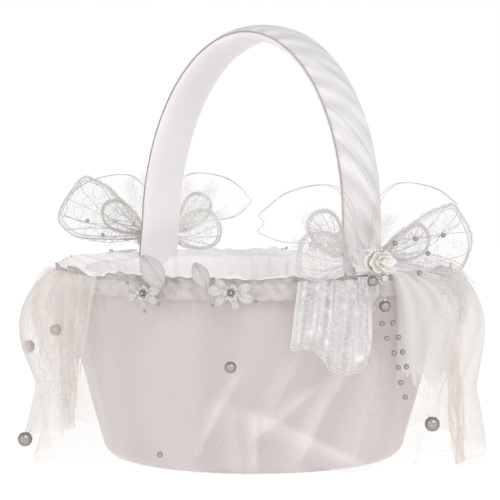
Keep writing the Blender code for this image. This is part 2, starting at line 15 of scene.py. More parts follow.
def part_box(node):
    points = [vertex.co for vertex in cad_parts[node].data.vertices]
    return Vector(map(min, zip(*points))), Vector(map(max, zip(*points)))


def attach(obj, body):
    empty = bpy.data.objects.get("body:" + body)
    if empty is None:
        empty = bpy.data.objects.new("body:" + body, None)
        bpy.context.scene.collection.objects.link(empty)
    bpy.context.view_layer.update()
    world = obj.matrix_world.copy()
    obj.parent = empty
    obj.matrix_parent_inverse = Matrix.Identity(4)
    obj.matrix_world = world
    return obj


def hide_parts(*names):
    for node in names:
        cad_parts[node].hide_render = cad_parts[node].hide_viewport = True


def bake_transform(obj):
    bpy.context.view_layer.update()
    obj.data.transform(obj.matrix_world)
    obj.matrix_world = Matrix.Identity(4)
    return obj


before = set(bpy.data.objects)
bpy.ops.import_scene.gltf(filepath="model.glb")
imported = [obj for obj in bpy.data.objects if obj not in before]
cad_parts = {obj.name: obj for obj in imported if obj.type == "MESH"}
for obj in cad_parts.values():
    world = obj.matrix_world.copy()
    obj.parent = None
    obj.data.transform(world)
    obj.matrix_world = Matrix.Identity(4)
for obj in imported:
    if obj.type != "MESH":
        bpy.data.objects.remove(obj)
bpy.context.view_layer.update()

MM = 0.001
TAU = 2 * pi
SIDES = {"near": 0.0, "far": pi}

HANDLE_HALF_SPAN = 94.2 * MM
HANDLE_HALF_WIDTH = 13.0 * MM
HANDLE_SPRING_Z = 126.5 * MM
HANDLE_LEAN = 0.045
HANDLE_LEAN_FROM = 118 * MM
LAP_PITCH = 27 * MM
# The direction in which the overskirt stands off the tub most, and its opposite.
FLARE = radians(54)
KNOT = Vector((108 * MM, -6 * MM, 113 * MM))
# The far low leaf is turned on a little, to clear the tulle bunched beside it.
FAR_LEAF_TURN = radians(-6)

CAMERA_AZIMUTH = 53.8
CAMERA_DISTANCE = 1.097
CAMERA_HEIGHT = 0.1876
CAMERA_LENS = 141.0
CAMERA_AIM = Vector((-0.0035, -0.0001, 0.1122))

_, COVER_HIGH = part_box("outer_satin_cover")
FRILL_LOW, FRILL_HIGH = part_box("rim_frill")
LINING_LOW, LINING_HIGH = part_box("inner_satin_lining")
RIM_RADIUS = FRILL_HIGH.x
COVER_SLOPE = 0.2546
COVER_CORNER_Z = 5 * MM
COVER_FOOT_Z = 0.5 * MM
LINING_FLOOR_RADIUS = 73.4 * MM


# ------------------------------------------------------------------ small tools


def ripple(seed, waves, across=(3, 20), along=(0.0, 2.0), whole=False):
    """A repeatable sum of sine waves over (u, v), of about -1 to 1. whole makes it repeat over u."""
    rng = np.random.default_rng(seed)
    parts = []
    for _ in range(waves):
        turns = rng.uniform(*across)
        turns = round(turns) if whole else turns
        parts.append((turns * TAU, rng.uniform(*along) * TAU * rng.choice((-1, 1)), rng.uniform(0, TAU)))
    size = (waves / 2) ** 0.5

    def value(u, v):
        return sum(np.sin(a * u + b * v + phase) for a, b, phase in parts) / size

    return value


def smooth(x, low, high):
    """0 below low, 1 above high, and a smooth step between them."""
    t = np.clip((np.asarray(x) - low) / (high - low), 0, 1)
    return t * t * (3 - 2 * t)


def bump(x, middle, width):
    """1 at the middle, falling off smoothly on both sides of it."""
    return np.exp(-(((x - middle) / width) ** 2))


def between(x, xs, ys):
    """A rounded curve through a few points, for profiles that are told by their stations."""
    xs, ys = np.asarray(xs, float), np.asarray(ys, float)
    x = np.clip(x, xs[0], xs[-1])
    i = np.clip(np.searchsorted(xs, x) - 1, 0, len(xs) - 2)
    slope = np.gradient(ys, xs)
    h = xs[i + 1] - xs[i]
    t = (x - xs[i]) / h
    return (
        (2 * t**3 - 3 * t**2 + 1) * ys[i]
        + (t**3 - 2 * t**2 + t) * h * slope[i]
        + (3 * t**2 - 2 * t**3) * ys[i + 1]
        + (t**3 - t**2) * h * slope[i + 1]
    )


def rows(xyz):
    """Three coordinates, as rows of points."""
    return np.stack(np.broadcast_arrays(*xyz), -1)


def traced(place, u, v):
    """The points of a surface at places (u, v), either of which may be one number."""
    return rows(place(*np.broadcast_arrays(u, v)))


def stepped(origin, *steps):
    """Places reached from an origin by steps, each a direction and its lengths."""
    for direction, lengths in steps:
        origin = origin + direction * lengths[..., None]
    return origin[..., 0], origin[..., 1], origin[..., 2]


def polar(radius, angle, z):
    """A place by its distance in millimetres from the basket's axis, its direction, and its height."""
    return radius * np.cos(angle) * MM, radius * np.sin(angle) * MM, z * MM


def from_knot(out, along, up):
    """A place by its distances in millimetres outwards, along the bow and up from the knot's centre."""
    return KNOT.x + out * MM, KNOT.y + along * MM, KNOT.z + up * MM


def rotated(points, degrees):
    """2D points turned about zero."""
    points = np.asarray(points, float)
    c, s = cos(radians(degrees)), sin(radians(degrees))
    return np.stack([points[:, 0] * c - points[:, 1] * s, points[:, 0] * s + points[:, 1] * c], -1)


def closed_curve(stations, count):
    """A smooth closed line through 2D points, evenly sampled."""
    points = np.array(stations, float)
    t = np.linspace(0, len(points), count, endpoint=False)
    i = t.astype(int)
    f = (t - i)[:, None]
    before, here, after, beyond = (points[(i + k) % len(points)] for k in (-1, 0, 1, 2))
    return 0.5 * (
        2 * here
        + (after - before) * f
        + (2 * before - 5 * here + 4 * after - beyond) * f**2
        + (3 * here - before - 3 * after + beyond) * f**3
    )


def make(name, points, faces, material, cloth=None):
    """A smooth-shaded mesh object. cloth is three numbers for each point, which the materials read."""
    mesh = bpy.data.meshes.new(name)
    mesh.from_pydata(np.asarray(points).tolist(), [], faces)
    mesh.shade_smooth()
    if cloth is not None:
        held = mesh.attributes.new("cloth", "FLOAT_VECTOR", "POINT")
        held.data.foreach_set("vector", np.asarray(cloth, np.float32).ravel())
    mesh.materials.append(material)
    made = bpy.data.objects.new(name, mesh)
    bpy.context.scene.collection.objects.link(made)
    return made


def sheet(name, place, cells, material, thickness=0.0, closed_u=False, closed_v=False, density_and_shade=None):
    """A cloth sheet laid out by place(u, v). Its cloth attribute keeps u, v and a third number from the given
    function: painted shade for satin, extra density for sheer cloth.
    """
    nu, nv = cells
    u = np.linspace(0, 1, nu + 1)[: nu if closed_u else nu + 1]
    v = np.linspace(0, 1, nv + 1)[: nv if closed_v else nv + 1]
    uu, vv = np.meshgrid(u, v, indexing="ij")
    index = np.arange(len(u) * len(v)).reshape(len(u), len(v))
    if closed_u:
        index = np.vstack([index, index[:1]])
    if closed_v:
        index = np.hstack([index, index[:, :1]])
    faces = np.stack([index[:-1, :-1], index[1:, :-1], index[1:, 1:], index[:-1, 1:]], -1).reshape(-1, 4)
    gathered = np.zeros_like(uu) if density_and_shade is None else density_and_shade(uu, vv)
    cloth = np.stack([uu, vv, gathered], -1).reshape(-1, 3)
    made = make(name, rows(place(uu, vv)).reshape(-1, 3), faces.tolist(), material, cloth)
    if thickness:
        solid = made.modifiers.new("thickness", "SOLIDIFY")
        solid.thickness = thickness
        solid.offset = 0
    return made


def round_sheet(profile):
    """Turns profile(u, v), a radius and a height, into a place function round the basket's axis."""

    def place(u, v):
        radius, z = profile(u, v)
        return radius * np.cos(TAU * u), radius * np.sin(TAU * u), z

    return place


def tubes(name, lines, radius, material, sides=5):
    """Closed round cords along lines of points, all in one piece. radius is one size or one for each line."""
    turn = np.linspace(0, TAU, sides, endpoint=False)
    points, faces, start = [], [], 0
    for line, size in zip(lines, np.broadcast_to(radius, (len(lines),))):
        line = np.asarray(line, float)
        tangent = np.gradient(line, axis=0)
        tangent /= np.linalg.norm(tangent, axis=1)[:, None] + 1e-12
        upright = abs(tangent[:, 2]).mean() >= 0.8
        side = np.cross(tangent, (0.93, 0.31, 0.17) if upright else (0.31, 0.17, 0.93))
        side /= np.linalg.norm(side, axis=1)[:, None] + 1e-12
        other = np.cross(tangent, side)
        ring = side[:, None] * np.cos(turn)[:, None] + other[:, None] * np.sin(turn)[:, None]
        points.append((line[:, None] + ring * size).reshape(-1, 3))
        index = start + np.arange(len(line) * sides).reshape(len(line), sides)
        around = np.roll(index, -1, axis=1)
        quads = np.stack([index[:-1], around[:-1], around[1:], index[1:]], -1).reshape(-1, 4)
        faces += quads.tolist() + [index[0, ::-1].tolist(), index[-1].tolist()]
        start += len(line) * sides
    return make(name, np.concatenate(points), faces, material)


def beads(name, centres, radii, material, rings=12, around=18):
    """Round pearls in one piece, each a little sunk at its poles, where its thread goes through."""
    sunk, wide_angle = 0.1, 0.22
    lat = np.linspace(0, pi, rings + 1)
    lon = np.linspace(0, TAU, around, endpoint=False)
    dip = 1 - sunk * bump(lat, 0, wide_angle) - sunk * bump(lat, pi, wide_angle)
    wide, tall = (np.sin(lat) * dip)[:, None], (np.cos(lat) * dip)[:, None]
    ring = rows((wide * np.cos(lon), wide * np.sin(lon), tall))[1:-1]
    unit = np.concatenate([ring.reshape(-1, 3), [[0, 0, dip[0]], [0, 0, -dip[-1]]]])
    index = np.arange((rings - 1) * around).reshape(rings - 1, around)
    near = np.roll(index, -1, axis=1)
    shape = np.stack([index[:-1], index[1:], near[1:], near[:-1]], -1).reshape(-1, 4).tolist()
    top, bottom = len(unit) - 2, len(unit) - 1
    shape += [[top, a, b] for a, b in zip(index[0].tolist(), near[0].tolist())]
    shape += [[bottom, b, a] for a, b in zip(index[-1].tolist(), near[-1].tolist())]
    points, faces = [], []
    for i, (centre, size) in enumerate(zip(centres, np.broadcast_to(radii, (len(centres),)))):
        points.append(unit * size + np.asarray(centre))
        faces += [[j + i * len(unit) for j in face] for face in shape]
    return make(name, np.concatenate(points), faces, material)


def join(name, pieces):
    """One piece from several, with their modifiers applied and their materials and cloth attribute kept."""
    depsgraph = bpy.context.evaluated_depsgraph_get()
    for piece in pieces:
        if piece.modifiers:
            solid = bpy.data.meshes.new_from_object(piece.evaluated_get(depsgraph))
            piece.modifiers.clear()
            piece.data = solid
    first = pieces[0]
    with bpy.context.temp_override(
        active_object=first, object=first, selected_objects=pieces, selected_editable_objects=pieces
    ):
        bpy.ops.object.join()
    first.name = name
    first.data.name = name
    return first


def settle(piece, body, node_name=None, side="near", turn=0.0):
    """Turns a piece to its side of the basket, rides it on its body and hides the CAD node that it stands
    for.
    """
    piece.matrix_world = Matrix.Rotation(SIDES[side] + turn, 4, "Z") @ piece.matrix_world
    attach(piece, body)
    if node_name:
        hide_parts(node_name)


def settle_blend(piece, node_name, side):
    """Turns a hanging piece's mesh to its side of the basket and hides the CAD node that it stands for."""
    piece.data.transform(Matrix.Rotation(SIDES[side], 4, "Z"))
    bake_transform(piece)
    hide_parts(node_name)


# ------------------------------------------------------------------ materials


def node(tree, kind, settings=None, pick=0, **inputs):
    """Adds a shader node and returns one output. Inputs are values or sockets, by name or as _number."""
    made = tree.nodes.new("ShaderNode" + kind)
    for key, value in (settings or {}).items():
        setattr(made, key, value)
    for key, value in inputs.items():
        socket = made.inputs[int(key[1:])] if key[0] == "_" else made.inputs[key.replace("_", " ")]
        if isinstance(value, bpy.types.NodeSocket):
            tree.links.new(value, socket)
        else:
            socket.default_value = value
    return made.outputs[pick]


def empty_tree(owner):
    """The cleared node tree of a material or a world."""
    owner.use_nodes = True
    owner.node_tree.nodes.clear()
    return owner.node_tree


def surfaced(name, paint):
    """A new material whose surface is the shader that paint(tree) makes."""
    made = bpy.data.materials.new(name)
    tree = empty_tree(made)
    shader = paint(tree)
    tree.links.new(shader, tree.nodes.new("ShaderNodeOutputMaterial").inputs[0])
    return made


def maths(tree, operation, first, second=0.0, **third):
    """One number from two or three, by Blender's own name for the operation."""
    return node(tree, "Math", {"operation": operation}, _0=first, _1=second, **third)


def scaled(tree, vector, scale):
    """A vector or colour times a number."""
    return node(tree, "VectorMath", {"operation": "SCALE"}, _0=vector, Scale=scale)


def spot(tree, scale):
    """Object coordinates times scale, so that a scale of 1000 counts in millimetres."""
    return scaled(tree, node(tree, "TexCoord", pick="Object"), scale)


def cloth_place(tree):
    """The cloth attribute: (u, v, and a third number that is painted shade for satin and extra density for
    sheer cloth).
    """
    return node(tree, "Attribute", {"attribute_name": "cloth"}, pick="Vector")


def blotches(tree, scale, low, high):
    """Soft colour variation between two colours, and the noise that it follows."""
    noise = node(tree, "TexNoise", Vector=spot(tree, scale), Scale=1.0, Detail=3.0)
    return node(tree, "MixRGB", Fac=noise, Color1=(*low, 1), Color2=(*high, 1)), noise


def weave(tree, pitch):
    """The over-and-under of a plain weave."""
    at = spot(tree, TAU / pitch)
    x, y, z = (node(tree, "SeparateXYZ", pick=axis, Vector=at) for axis in range(3))
    return maths(tree, "MULTIPLY", maths(tree, "SINE", z), maths(tree, "SINE", maths(tree, "ADD", x, y)))


def mixed(tree, share, first, second):
    """The first shader, with a share of the second in its place."""
    return node(tree, "MixShader", Fac=share, _1=first, _2=second)


def satin(name, low, high, roughness=0.42, wrinkle=0.25, sheen=0.35):
    """Woven satin: fine weave and soft wrinkles in the bump, tone that wanders, and painted shade that
    darkens it where the cloth attribute's third number is high.
    """

    def paint(tree):
        tone, wander = blotches(tree, 28, low, high)
        # Painted shade: the cloth attribute's third number darkens the tone, to half its value at 1.
        gathered = node(tree, "SeparateXYZ", pick=2, Vector=cloth_place(tree))
        shade_factor = node(tree, "MapRange", Value=gathered, _1=0.0, _2=1.0, _3=1.0, _4=0.5)
        soft = node(tree, "TexNoise", Vector=spot(tree, 55), Scale=1.0, Detail=3.0, Distortion=0.8)
        woven = node(tree, "Bump", Strength=0.12, Distance=0.0001, Height=weave(tree, 0.35 * MM))
        return node(
            tree,
            "BsdfPrincipled",
            Base_Color=scaled(tree, tone, shade_factor),
            Roughness=node(tree, "MapRange", Value=wander, _3=roughness - 0.06, _4=roughness + 0.08),
            Sheen_Weight=sheen,
            Sheen_Roughness=0.4,
            Specular_IOR_Level=0.35,
            Normal=node(tree, "Bump", Strength=wrinkle, Distance=0.0015, Height=soft, Normal=woven),
        )

    return surfaced(name, paint)


def fibrous(tree, solid, tone, glow, lit):
    """Cloth that lets light through by glow. lit is a share of painted glow: emission in the cloth's own
    tone, which lightens it as if light passed on between its fibres.
    """
    body = mixed(tree, glow, solid, node(tree, "BsdfTranslucent", Color=tone))
    return mixed(tree, lit, body, node(tree, "Emission", Color=tone, Strength=0.95)) if lit else body


def sheer(name, colour, cover, edge, gather=0.0, net=0.0, streak=0.0, glow=0.5, tint=None, lit=0.0):
    """See-through cloth. cover is how much it hides head on, and edge how much more it hides seen edge on.

    gather is how much more it hides where the sheet is gathered, net draws the mesh's threads, and streak
    draws denser threads that run down the sheet.
    """

    def paint(tree):
        grazing = maths(tree, "POWER", node(tree, "LayerWeight", pick="Facing", Blend=0.5), 2.6)
        hides = maths(tree, "MULTIPLY_ADD", grazing, edge, _2=cover)
        cloth = cloth_place(tree)
        if gather:
            gathered = node(tree, "SeparateXYZ", pick=2, Vector=cloth)
            hides = maths(tree, "MULTIPLY_ADD", gathered, gather, _2=hides)
        if net:
            to_edge = {"feature": "DISTANCE_TO_EDGE"}
            cells = node(tree, "TexVoronoi", to_edge, Vector=spot(tree, 1000), Scale=0.9, Randomness=0.35)
            line = node(tree, "MapRange", Value=cells, _1=0.06, _2=0.16, _3=net, _4=0.0)
            hides = maths(tree, "ADD", hides, line)
        if streak:
            pulled = node(tree, "Mapping", Vector=cloth, Scale=(70.0, 2.5, 1.0))
            fibres = node(tree, "TexNoise", Vector=pulled, Scale=1.0, Detail=5.0, Roughness=0.65)
            line = node(tree, "MapRange", Value=fibres, _1=0.3, _2=0.7, _3=-streak, _4=streak)
            hides = maths(tree, "ADD", hides, line)
        hides = node(tree, "Clamp", Value=hides, Min=0.0, Max=0.97)
        tone, _ = blotches(tree, 60, colour, tint or colour)
        matt = {"Roughness": 0.6, "Sheen_Weight": 0.3, "Specular_IOR_Level": 0.2}
        solid = node(tree, "BsdfPrincipled", Base_Color=tone, **matt)
        return mixed(tree, hides, node(tree, "BsdfTransparent"), fibrous(tree, solid, tone, glow, lit))

    return surfaced(name, paint)


def thread(name, colour, pitch=0.5, clear=0.0, glow=0.35, lit=0.0):
    """Yarn or down with a twisted bump. clear is how clear its fine hairs look."""

    def paint(tree):
        tone, _ = blotches(tree, 300, tuple(c * 0.95 for c in colour), colour)
        twist = node(tree, "Bump", Strength=0.4, Distance=0.0001, Height=weave(tree, pitch * MM))
        yarn = {"Roughness": 0.7, "Sheen_Weight": 0.4, "Normal": twist}
        solid = node(tree, "BsdfPrincipled", Base_Color=tone, **yarn)
        body = fibrous(tree, solid, tone, glow, lit)
        return mixed(tree, clear, body, node(tree, "BsdfTransparent")) if clear else body

    return surfaced(name, paint)


def pearl(name, colour, rim_shade, lustre=0.0):
    """Faux pearl whose colour turns towards a darker colour at its rim, as painted shade, with a little swirl
    of tone. lustre is how much it mirrors the lamps.
    """

    def paint(tree):
        swirl = node(tree, "TexNoise", Vector=spot(tree, 500), Scale=1.0, Detail=2.0, Distortion=1.5)
        rim_share = node(tree, "LayerWeight", pick="Facing", Blend=0.5)
        share = maths(tree, "MULTIPLY_ADD", swirl, 0.15, _2=rim_share)
        tone = node(tree, "MixRGB", Fac=share, Color1=(*colour, 1), Color2=(*rim_shade, 1))
        coat = {"Specular_IOR_Level": 0.5, "Coat_Weight": 0.6, "Coat_Roughness": 0.2}
        return node(tree, "BsdfPrincipled", Base_Color=tone, Metallic=lustre, Roughness=0.28, **coat)

    return surfaced(name, paint)


def metal(name, colour, roughness, grain):
    """Metal or cut glass whose roughness wanders."""

    def paint(tree):
        tone, noise = blotches(tree, grain, tuple(c * 0.85 for c in colour), colour)
        rough = node(tree, "MapRange", Value=noise, _3=roughness * 0.7, _4=roughness * 1.3)
        return node(tree, "BsdfPrincipled", Base_Color=tone, Metallic=0.75, Roughness=rough)

    return surfaced(name, paint)


def filler(name, low, high, scale):
    """A matt filler such as board or foam, with its grain."""

    def paint(tree):
        tone, noise = blotches(tree, scale, low, high)
        grain = node(tree, "Bump", Strength=0.5, Distance=0.0004, Height=noise)
        return node(tree, "BsdfPrincipled", Base_Color=tone, Roughness=0.9, Normal=grain)

    return surfaced(name, paint)


# The tub's satin and the rim band are the same white satin as the lining and the handle, given a darker,
# pinker colour as painted shade.
SHADED_SATIN = satin("white_satin", (0.60, 0.535, 0.53), (0.66, 0.595, 0.59))
BAND = satin("rim_band_satin", (0.58, 0.54, 0.53), (0.66, 0.62, 0.61), wrinkle=0.6)
LINING = satin("lining_satin", (0.92, 0.90, 0.90), (0.97, 0.95, 0.95), wrinkle=0.5)
RIBBON = satin("handle_satin", (0.88, 0.855, 0.86), (0.95, 0.925, 0.93), 0.6, wrinkle=0.2, sheen=0.05)
PETAL = satin("petal_organza", (0.76, 0.73, 0.72), (0.84, 0.81, 0.80), wrinkle=0.6)

# lit in these materials is a share of painted glow, an emission that lightens the cloth, the yarn and the
# down.
TULLE = sheer("tulle", (0.95, 0.92, 0.90), 0.07, 0.3, gather=1.0, net=0.05, tint=(0.93, 0.89, 0.86))
FALL_TINT = (0.87, 0.845, 0.84)
FLOUNCE = sheer("gathered_tulle", (0.90, 0.875, 0.875), 0.62, 0.3, 1.0, tint=FALL_TINT, glow=0.25, lit=0.12)
BUNCH = sheer("bunched_tulle", (0.95, 0.91, 0.88), 0.3, 0.25, gather=1.0, tint=(0.93, 0.88, 0.84), lit=0.2)
TAIL = sheer("folded_tulle", (0.93, 0.89, 0.86), 0.5, 0.4, gather=0.4, streak=0.1, tint=(0.90, 0.83, 0.76))
ORGANZA = sheer("organza", (0.95, 0.95, 0.93), 0.07, 0.3, glow=0.4, tint=(0.97, 0.95, 0.88))
KNOT_CLOTH = sheer("knot_organza", (0.93, 0.91, 0.91), 0.85, 0.2, glow=0.1, tint=(0.92, 0.90, 0.90), lit=0.3)
LACE_NET = sheer("lace_net", (0.87, 0.855, 0.85), 0.17, 0.1, net=0.16, glow=0.4)
LEAF_NET = sheer("leaf_net", (0.82, 0.80, 0.80), 0.75, 0.2, net=0.2, glow=0.3, tint=(0.76, 0.74, 0.74))
GROUND = {"gather": 0.35, "net": 0.1, "glow": 0.15, "tint": (0.91, 0.895, 0.91), "lit": 0.2}
LACE_CLOTH = sheer("lace_ground", (0.95, 0.935, 0.95), 0.42, 0.2, **GROUND)

CORD = thread("lace_cord", (0.84, 0.825, 0.82), lit=0.08)
LACE_YARN = thread("lace_yarn", (0.93, 0.92, 0.92), lit=0.2)
HEM = thread("hem_thread", (0.80, 0.79, 0.76), pitch=0.3, clear=0.2)
# Painted shade: a dark cord along the rim's edge and the handle's edge stands for the thin line of shade
# there.
SHADOW_CORD = thread("shadow_line_cord", (0.46, 0.41, 0.39), pitch=0.4, glow=0.0)
VEIN = thread("leaf_wire", (0.60, 0.58, 0.57), pitch=0.3, glow=0.0)
DOWN = thread("marabou_down", (0.98, 0.965, 0.95), pitch=0.2, clear=0.78, glow=0.5, lit=0.65)
WISP = thread("loose_thread", (0.88, 0.83, 0.78), pitch=0.2, clear=0.35, glow=0.5, lit=0.2)

PEARL = pearl("faux_pearl", (0.46, 0.425, 0.40), (0.04, 0.032, 0.028), lustre=0.5)
CREAM = pearl("cream_resin", (0.95, 0.93, 0.89), (0.84, 0.81, 0.74))
CRYSTAL = metal("rhinestone", (0.74, 0.75, 0.70), 0.12, 1500)
SILVER = metal("silver_setting", (0.96, 0.95, 0.92), 0.5, 900)
STEEL = metal("galvanised_steel", (0.6, 0.6, 0.62), 0.4, 400)
BOARD = filler("fibre_board", (0.45, 0.38, 0.3), (0.6, 0.52, 0.42), 500)
FOAM = filler("foam_padding", (0.8, 0.79, 0.74), (0.9, 0.89, 0.85), 900)


# ------------------------------------------------------------------ the tub


def cover_radius(z):
    """The outer satin's radius at height z."""
    straight = COVER_HIGH.x - (COVER_HIGH.z - z) * COVER_SLOPE
    corner = 2.6 * MM * np.clip((COVER_CORNER_Z - z) / (COVER_CORNER_Z - COVER_FOOT_Z), 0, 1) ** 2
    return straight - corner


def tub_cover():
    """The outer satin: wide soft pleats, and tight gathers just under the rim."""
    pleats = ripple(11, 7, (6, 24), (0.0, 0.35), whole=True)
    gathers = ripple(12, 6, (60, 110), (0.0, 0.3), whole=True)
    height = COVER_HIGH.z - COVER_FOOT_Z

    def outside(u, v):
        z = COVER_FOOT_Z + height * (1 - v) ** 1.15
        share = (z - COVER_FOOT_Z) / height
        soft = 0.75 * MM * pleats(u, v) * smooth(share, 0.02, 0.3)
        tight = 0.4 * MM * gathers(u, v) * smooth(share, 0.72, 0.97)
        return cover_radius(z) + soft + tight - 0.2 * MM, z

    # Painted shade: the satin is darker towards its foot, and its tone rises and falls with the pleats.
    def shade(u, v):
        return 0.05 + 0.12 * smooth(v, 0.6, 1.0) + 0.06 * pleats(u, v)

    place = round_sheet(outside)
    cover = sheet("tub_satin_cover", place, (420, 64), SHADED_SATIN, 0.5 * MM, closed_u=True, density_and_shade=shade)
    settle(cover, "basket", "outer_satin_cover")


def tub_lining():
    """The lining: loose folds down the wall, then the padded floor."""
    folds = ripple(21, 8, (12, 40), (0.2, 1.4), whole=True)
    creases = ripple(22, 6, (40, 90), (0.1, 0.8), whole=True)
    wall_share = 0.72
    top_z = LINING_HIGH.z - 0.5 * MM

    def inside(u, v):
        down = np.clip(v / wall_share, 0, 1)
        z = top_z + down * (LINING_LOW.z + 2.2 * MM - LINING_HIGH.z)
        radius = LINING_HIGH.x - 1.2 * MM + down * (LINING_FLOOR_RADIUS - LINING_HIGH.x + 1.2 * MM)
        puff = (1.5 * folds(u, v) + 0.6 * creases(u, v)) * MM * smooth(down, 0.0, 0.06) * (1 - 0.6 * down)
        middle = np.clip((v - wall_share) / (1 - wall_share), 0, 1)
        radius = radius * (1 - middle) - np.abs(puff)
        z = z + 3.5 * MM * smooth(middle, 0.0, 0.5) * (middle > 0) + 0.4 * MM * folds(u, middle)
        return np.maximum(radius, 0.2 * MM), z

    lining = sheet("tub_lining", round_sheet(inside), (360, 56), LINING, 0.4 * MM, closed_u=True)
    settle(lining, "basket", "inner_satin_lining")


def rim():
    """The rim's gathered band, the corded edge above it, coloured dark as a painted shadow line, and the
    ruffle that slopes in over the lining.
    """
    gathers = ripple(31, 7, (48, 96), (0.0, 0.5), whole=True)
    slant = ripple(33, 7, (26, 70), (0.3, 1.2), whole=True)
    waves = ripple(32, 6, (7, 26), (0.0, 0.4), whole=True)
    blots = ripple(34, 9, (30, 120), (0.5, 2.0), whole=True)
    edge = 0.45
    stations = [0.0, 0.15, 0.3, edge, 0.52, 0.66, 0.82, 1.0]
    radii = [RIM_RADIUS + x * MM for x in (-0.5, -0.1, 0.0, -0.3, -2.0, -8.0, -14.0, -18.3)]
    heights = [FRILL_LOW.z + x * MM for x in (0.0, 4.2, 8.0, 11.0, 11.6, 10.0, 7.0, 2.4)]

    def fold(u, v):
        inner = smooth(v, 0.48, 0.62) * (1 - smooth(v, 0.9, 1.0))
        radius = between(v, stations, radii) + 0.35 * MM * gathers(u, v)
        radius -= 0.5 * MM * bump(v, 0.36, 0.05)
        crest = 0.9 * waves(u, edge) + 0.3 * gathers(u, edge)
        z = between(v, stations, heights) + MM * bump(v, edge, 0.12) * crest
        z += 1.1 * MM * slant(u, v) * inner
        return radius, z

    def part(low, high):
        return round_sheet(lambda u, v: fold(u, low + v * (high - low)))

    # Painted shade under the rim's edge: the band darkens towards its top, with darker blots at random.
    def shade(u, v):
        return 0.1 + 0.4 * smooth(v, 0.3, 1.0) + 0.16 * blots(u, v)

    band = sheet("band", part(0.0, edge), (640, 14), BAND, 0.4 * MM, closed_u=True, density_and_shade=shade)
    ruff = sheet("ruff", part(edge, 1.0), (640, 18), LINING, 0.4 * MM, closed_u=True)
    cord = tubes("cord", [traced(round_sheet(fold), np.linspace(0, 1, 900), edge)], 0.5 * MM, SHADOW_CORD)
    frill = join("gathered_rim_frill", [band, ruff, cord])
    settle(frill, "basket", "rim_frill")


# Gathered folds of the overskirt: each one's top angle and height, low angle and height, width and density.
SKIRT_FOLDS = (
    (-40, 56, -53, 16, 0.9, 0.42),
    (-43, 50, -50, 26, 0.6, 0.2),
    (-10, 57, -21, 12, 1.3, 0.6),
    (-35, 34, -4, 7, 2.2, 0.5),
    (-36, 32, -36, 5, 0.9, 0.5),
    (-25, 62, -33, 30, 1.3, 0.35),
    (-19, 46, -34, 24, 1.1, 0.5),
    (-44, 40, -41, 4, 1.6, 0.3),
    (-3, 62, -6, 5, 2.2, 0.35),
    (62, 80, 66, 4, 2.4, 0.25),
    (40, 60, 48, 4, 2.6, 0.2),
)


def overskirt():
    """The sheer overskirt: gathered under the rim, close to the tub, and standing off it on two sides."""
    drift = ripple(41, 9, (5, 18), (0.1, 0.9), whole=True)
    fine = ripple(42, 7, (24, 50), (0.2, 1.0), whole=True)
    hem = ripple(43, 6, (5, 28), (0.0, 0.1), whole=True)
    top, floor = 102.5 * MM, 1.2 * MM
    start = RIM_RADIUS + 1.0 * MM

    def height(u, v):
        low = floor + np.maximum(2.2 + 1.8 * hem(u, 0), 0) * MM
        return top + v * (low - top)

    def gathered(u, v):
        """How strongly the folds show at a place, from 0 to about 1."""
        z = height(u, v) / MM
        total = 0.1 * smooth(v, 0.985, 1.0) + 0.25 * (1 - smooth(v, 0.0, 0.12))
        for angle_top, z_top, angle_low, z_low, width, strength in SKIRT_FOLDS:
            for half in (0, 180):
                share = (z - z_top) / (z_low - z_top)
                middle = angle_top + share * (angle_low - angle_top) + half
                gap = (360 * u - middle + 180) % 360 - 180
                here = smooth(share, -0.3, 0.2) * (1 - smooth(share, 0.8, 1.3))
                soft_side = np.where(gap > 0, 1.2 * width, 3.4 * width)
                total = total + strength * here * bump(gap, 0, soft_side)
        return total

    def drape(u, v):
        z = height(u, v)
        toward = np.cos(TAU * u - FLARE) ** 2
        belly = toward**3 * 11 * MM * np.sin(pi * np.clip(v * 1.5, 0, 1) ** 0.7)
        flare = toward**1.5 * 33 * MM * v**1.1 + belly
        hug = cover_radius(z) + (2.2 + 7.0 * v) * MM
        base = start + (hug - start) * smooth(v, 0.02, 0.7)
        loose = (0.5 + 1.4 * v + 3.6 * toward * v) * drift(u, v) + (0.15 + 0.5 * toward * v) * fine(u, v)
        radius = base + flare + (loose + 1.3 * gathered(u, v)) * MM
        return np.maximum(radius, cover_radius(z) + 1.2 * MM), z

    def density(u, v):
        toward = np.cos(TAU * u - FLARE) ** 2
        return gathered(u, v) + (0.26 + 0.16 * drift(u, v)) * toward**2

    place = round_sheet(drape)
    skirt = sheet("tulle_overskirt_drape", place, (1080, 60), TULLE, closed_u=True, density_and_shade=density)
    settle(skirt, "basket", "tulle_overskirt")


# ------------------------------------------------------------------ the handle


